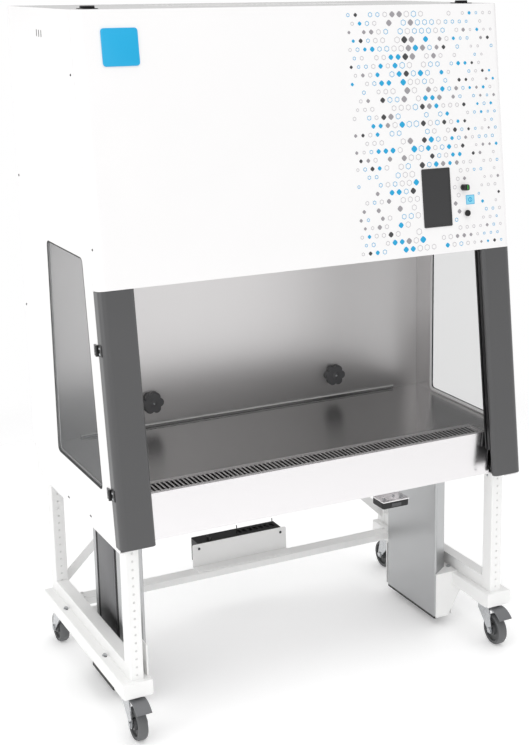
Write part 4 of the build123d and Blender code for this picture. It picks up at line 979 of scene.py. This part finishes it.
@dataclass
class Stand:
    """Castor beams, lifting columns, leg frames and the control tray."""

    # Lifting columns, with the strips in their grooves and the cover between these.
    column_y: float = 5.0
    column_foot: float = 34.0
    column_height: float = 554.0
    # Lifting columns, with painted shade in their grooves and the cover between these.
    groove_offset: float = 85.0
    groove_shade_size: tuple[float, float] = (2.6, 17.4)
    groove_x: float = 573.2
    cover: tuple[float, float] = (0.7, 150.0)
    cover_x: float = 576.3
    # Leg frames, with a row of plugged holes in each leg's front face.
    leg_x: float = 620.6
    leg_faces: tuple[float, float] = (-359.5, 335.35)
    plug_inset: float = 1.4
    plug_foot: float = 202.0
    plug_pitch: float = 25.0
    plugs: int = 16
    # Castor beams and what is bolted to them.
    beam_top: float = 186.4
    slot_bolts: tuple[float, float] = (205.0, -167.4)
    slot_bolt_x: float = 652.0
    slot_size: tuple[float, float] = (8.0, 24.0)
    bracket_bolts: tuple[float, float] = (-120.0, 130.0)
    bracket_bolt_x: float = 590.0
    bracket_top: float = 189.9
    crossbeam_bolts: tuple[float, float] = (258.0, 292.0)
    crossbeam_bolt_x: float = 571.0
    castor_x: float = 624.2
    castor_y: tuple[float, float] = (-319.5, 332.8)
    castor_bolt_steps: tuple[float, float] = (33.0, 34.0)
    castor_plate_foot: float = 135.5
    large_bolt: float = 10.0
    small_bolt: float = 8.0
    # Control tray, with the clip and plug pins in the control box's sockets.
    tray_screws: tuple[float, float] = (-150.0, 158.0)
    tray_face: float = 299.9
    tray_screw_height: float = 252.0
    tray_screw: float = 9.0
    clip_at: tuple[float, float] = (-104.0, 318.0)
    clip_size: tuple[float, float, float] = (13.0, 18.0, 16.0)
    pins: tuple[float, float] = (4.0, 140.0)
    pin_y: float = 330.0
    pin_radius: float = 1.6
    socket_top: float = 270.4

    def build(self) -> None:
        """Dresses the stand and adds its bolts and inserts."""
        dress(Palette.STAND_WHITE, *both("castor_beam"), "rear_crossbeam", *both("lift_bracket"),
              *both("leg_frame"), "rear_brace", "control_tray")
        dress(Palette.COLUMN, *both("column_outer"), *both("column_inner"))
        dress(Palette.BLACK_ABS, *both("lift_drive"))
        for side in Side:
            self.paint_groove_shade(side)
            self.cover_strip(side)
            self.hole_plugs(side)
            self.bolts(side)
        self.tray_parts()

    def paint_groove_shade(self, side: Side) -> None:
        """Adds black strips of painted shade in the two grooves of a column."""
        form = Form(f"{side.word}_column_strips", "base", [Palette.SEAL_AND_GROOVE_SHADE])
        for offset in (-self.groove_offset, self.groove_offset):
            where = place(side.value * self.groove_x, self.column_y + offset, self.column_foot)
            form.prism(rounded(*self.groove_shade_size, 0.8, 3), where, self.column_height)
        form.done()

    def cover_strip(self, side: Side) -> None:
        """Adds the dark cover strip between the grooves of a column's outer face."""
        form = Form(f"{side.word}_column_cover", "base", [Palette.COVER_DARK])
        form.prism(rounded(*self.cover, 0.3, 3),
                   place(side.value * self.cover_x, self.column_y, self.column_foot), self.column_height)
        form.done()

    def hole_plugs(self, side: Side) -> None:
        """Adds the white plugs in the row of holes down the front of each leg."""
        form = Form(f"{side.word}_leg_plugs", "cabinet", [Palette.PLUG])
        for face in self.leg_faces:
            for step in range(self.plugs):
                where = place(side.value * self.leg_x, face + self.plug_inset,
                              self.plug_foot + self.plug_pitch * step, Facing.FRONT)
                form.lathe([(0, 0.5), (1.6, 0.5), (2.6, 0.1), (3.4, -0.4), (3.4, -1.6), (0, -1.6)], where, 16)
        form.done()

    def bolts(self, side: Side) -> None:
        """Adds the bolt heads on a castor beam, its lift bracket and its crossbeam end."""
        form = Form(f"{side.word}_stand_bolts", "base",
                    [Palette.ZINC, Palette.GREY_NYLON_AND_SLOT_SHADE, Palette.STAND_WHITE])
        s = side.value
        for y in self.slot_bolts:
            # A grey face under each slot bolt is painted shade in the beam's slot.
            form.prism(rounded(*self.slot_size, 3.8), place(s * self.slot_bolt_x, y, self.beam_top),
                       0.3, 0.0, 1)
            hex_head(form, place(s * self.slot_bolt_x, y, self.beam_top + 0.1), self.large_bolt)
        for y in self.bracket_bolts:
            hex_head(form, place(s * self.bracket_bolt_x, y, self.bracket_top), self.large_bolt)
        for y in self.crossbeam_bolts:
            hex_head(form, place(s * self.crossbeam_bolt_x, y, self.beam_top), self.small_bolt, 2)
        step_x, step_y = self.castor_bolt_steps
        for y in self.castor_y:
            for dx in (-step_x, step_x):
                for dy in (-step_y, step_y):
                    where = place(s * self.castor_x + dx, y + dy, self.castor_plate_foot, Facing.DOWN)
                    hex_head(form, where, self.small_bolt)
        form.done()

    def tray_parts(self) -> None:
        """Adds the tray's screws and the plug pins and clip of the control box."""
        form = Form("tray_fixings", "base", [Palette.BOLT, Palette.BLACK_ABS])
        for x in self.tray_screws:
            where = place(x, self.tray_face, self.tray_screw_height, Facing.FRONT)
            button_head(form, where, self.tray_screw)
        width, depth, height = self.clip_size
        form.prism(rounded(width, depth, 3.0), place(*self.clip_at, self.socket_top), height, 1.0, 1)
        r = self.pin_radius
        for x in self.pins:
            form.lathe([(0, 0), (r, 0), (r, 26.0), (1.1, 28.0), (0, 28.2)],
                       place(x, self.pin_y, self.socket_top), 12, 1)
        form.done()


@dataclass
class Castors:
    """Swivel castors: forks, wheels and the brake pedals in front."""

    # For each end: its name, the y of its kingpins, and how far the axles lie from them.
    swivels: tuple[tuple[str, float, float], ...] = (("front", -319.5, -38.3), ("rear", 332.8, 38.3))
    beam_x: float = 624.2
    axle_height: float = 50.0

    def build(self) -> None:
        """Dresses the castors and adds their treads and dust caps."""
        dress(Palette.PEDAL, *both("brake_pedal"))
        for side in Side:
            for end, y, trail in self.swivels:
                stem = f"{side.word}_{end}"
                dress(Palette.ZINC, f"{stem}_castor_fork")
                dress(Palette.WHEEL_GREY, f"{stem}_wheel")
                self.tread(side, stem, y + trail)

    def tread(self, side: Side, stem: str, y: float) -> None:
        """Adds a wheel's rubber tread and the dust caps over its bearings.

        Args:
            side: left or right.
            stem: side and end, as the CAD parts are named.
            y: place of the axle, in mm.
        """
        form = Form(f"{stem}_tread", f"{stem}_wheel", [Palette.TREAD, Palette.GREY_NYLON_AND_SLOT_SHADE])
        where = place(side.value * self.beam_x, y, self.axle_height, Facing.RIGHT)
        form.lathe([(44.0, -14.6), (46.4, -14.6), (50.1, -9.2), (50.15, 0.0), (50.1, 9.2),
                    (46.4, 14.6), (44.0, 14.6)], where, 48)
        for end in (-1, 1):
            cap = where @ Matrix.Scale(end, 4, (0, 0, 1))
            form.lathe([(7.0, 16.1), (13.5, 16.6), (15.5, 16.1), (16.8, 15.0)], cap, 32, 1)
        form.done()


@dataclass
class Studio:
    """Pale floor, soft light and the camera at the photograph's viewing angle."""

    eye: tuple[float, float, float] = (-1.86444, -3.93064, 2.15170)
    yaw: float = 28.928
    pitch: float = -13.827
    roll: float = -0.238
    lens: float = 68.68
    shift: tuple[float, float] = (-0.12557, -0.06322)
    sensor: float = 36.0
    floor_half: float = 8.0
    floor_fade: tuple[float, float] = (1.0, 3.2)
    # Light that the floor gives off, then the surround as a glossy face mirrors it below and above the
    # horizon, and as it lights a matt face.
    floor_lift: float = 0.17
    floor_glow: tuple[float, float, float, float] = (1.05, 1.05, 1.05, 1.0)
    room_glow: tuple[float, float, float, float] = (0.22, 0.22, 0.22, 1.0)
    soft_glow: tuple[float, float, float, float] = (0.86, 0.86, 0.86, 1.0)
    horizon: tuple[float, float] = (-0.03, 0.06)

    def build(self) -> None:
        """Builds floor, lights and camera."""
        self.floor()
        self.world()
        self.soft_box("left box", (-4.4, -0.8, 2.2), (0.0, 0.0, 1.1), 3.0, 40.0)
        self.soft_box("front box", (-1.6, -5.4, 3.2), (0.0, 0.0, 1.2), 3.0, 45.0)
        self.soft_box("top box", (0.3, -0.6, 5.4), (0.3, -0.6, 0.0), 4.5, 70.0)
        self.camera()

    def floor(self) -> None:
        """Adds the floor, a pale sheet that runs out into the white surround."""
        data = bpy.data.meshes.new("studio_floor")
        half = self.floor_half
        near, far = self.floor_fade
        data.from_pydata([(-half, -half, 0), (half, -half, 0), (half, half, 0), (-half, half, 0)], [],
                         [(0, 1, 2, 3)])
        material, tree, shader = Finish("painted studio floor", "#FDFDFD", 0.5).shader()
        where = add_node(tree, "ShaderNodeTexCoord")
        away = add_node(tree, "ShaderNodeVectorMath", {0: where.outputs["Object"]}, operation="LENGTH")
        edge = add_node(tree, "ShaderNodeMapRange", {
            "Value": away.outputs["Value"], "From Min": near, "From Max": far, "To Min": 1.0,
            "To Max": 0.0}, interpolation_type="SMOOTHSTEP")
        tree.links.new(edge.outputs[0], shader.inputs["Alpha"])
        shader.inputs["Emission Color"].default_value = linear("#FFFFFF")
        shader.inputs["Emission Strength"].default_value = self.floor_lift
        data.materials.append(material)
        floor = bpy.data.objects.new("studio_floor", data)
        bpy.context.scene.collection.objects.link(floor)

    def world(self) -> None:
        """Sets the surround: white to look at, and a dim room over a bright floor in reflections."""
        world = bpy.data.worlds.new("studio")
        world.use_nodes = True
        bpy.context.scene.world = world
        bpy.context.scene.view_settings.view_transform = "Standard"
        tree = world.node_tree
        where = add_node(tree, "ShaderNodeTexCoord")
        height = add_node(tree, "ShaderNodeSeparateXYZ", {0: where.outputs["Generated"]})
        above = add_node(tree, "ShaderNodeMapRange", {
            "Value": height.outputs["Z"], "From Min": self.horizon[0], "From Max": self.horizon[1]},
            interpolation_type="SMOOTHSTEP")
        room = add_node(tree, "ShaderNodeMix", {
            "Factor": above.outputs[0], 6: self.floor_glow, 7: self.room_glow}, data_type="RGBA")
        path = add_node(tree, "ShaderNodeLightPath")
        soft = add_node(tree, "ShaderNodeMix", {
            "Factor": path.outputs["Is Diffuse Ray"], 6: room.outputs[2], 7: self.soft_glow},
            data_type="RGBA")
        seen = add_node(tree, "ShaderNodeMix", {
            "Factor": path.outputs["Is Camera Ray"], 6: soft.outputs[2], 7: linear("#FFFFFF")},
            data_type="RGBA")
        tree.links.new(seen.outputs[2], tree.nodes["Background"].inputs["Color"])

    def soft_box(self, name: str, at: tuple[float, float, float], to: tuple[float, float, float],
                 size: float, power: float) -> None:
        """Adds a square soft box.

        Args:
            name: its name.
            at: where it stands, in metres.
            to: the point it faces.
            size: its side, in metres.
            power: its power, in watts.
        """
        data = bpy.data.lights.new(name, "AREA")
        data.size, data.energy = size, power
        lamp = bpy.data.objects.new(name, data)
        lamp.location = at
        lamp.rotation_euler = (Vector(to) - Vector(at)).to_track_quat("-Z", "Y").to_euler()
        bpy.context.scene.collection.objects.link(lamp)

    def camera(self) -> None:
        """Adds the camera."""
        data = bpy.data.cameras.new("camera")
        data.lens, data.sensor_width = self.lens, self.sensor
        data.shift_x, data.shift_y = self.shift
        made = bpy.data.objects.new("camera", data)
        bpy.context.scene.collection.objects.link(made)
        yaw, pitch, roll = (math.radians(v) for v in (self.yaw, self.pitch, self.roll))
        ahead = Vector((math.sin(yaw) * math.cos(pitch), math.cos(yaw) * math.cos(pitch), math.sin(pitch)))
        level = Vector((math.cos(yaw), -math.sin(yaw), 0))
        lift = level.cross(ahead)
        right = level * math.cos(roll) + lift * math.sin(roll)
        up = -level * math.sin(roll) + lift * math.cos(roll)
        turn = Matrix((right, up, -ahead)).transposed().to_4x4()
        made.matrix_world = Matrix.Translation(self.eye) @ turn
        bpy.context.scene.camera = made


def main() -> None:
    """Builds each sub-assembly in order, then the studio round it."""
    for assembly in (Shell(), FrontPrint(), Controls(), Chamber(), Stand(), Castors()):
        log.info("building %s", type(assembly).__name__)
        assembly.build()
    Studio().build()


if __name__ == "__main__":
    logging.basicConfig(level=logging.INFO, format="%(name)s: %(message)s")
    main()
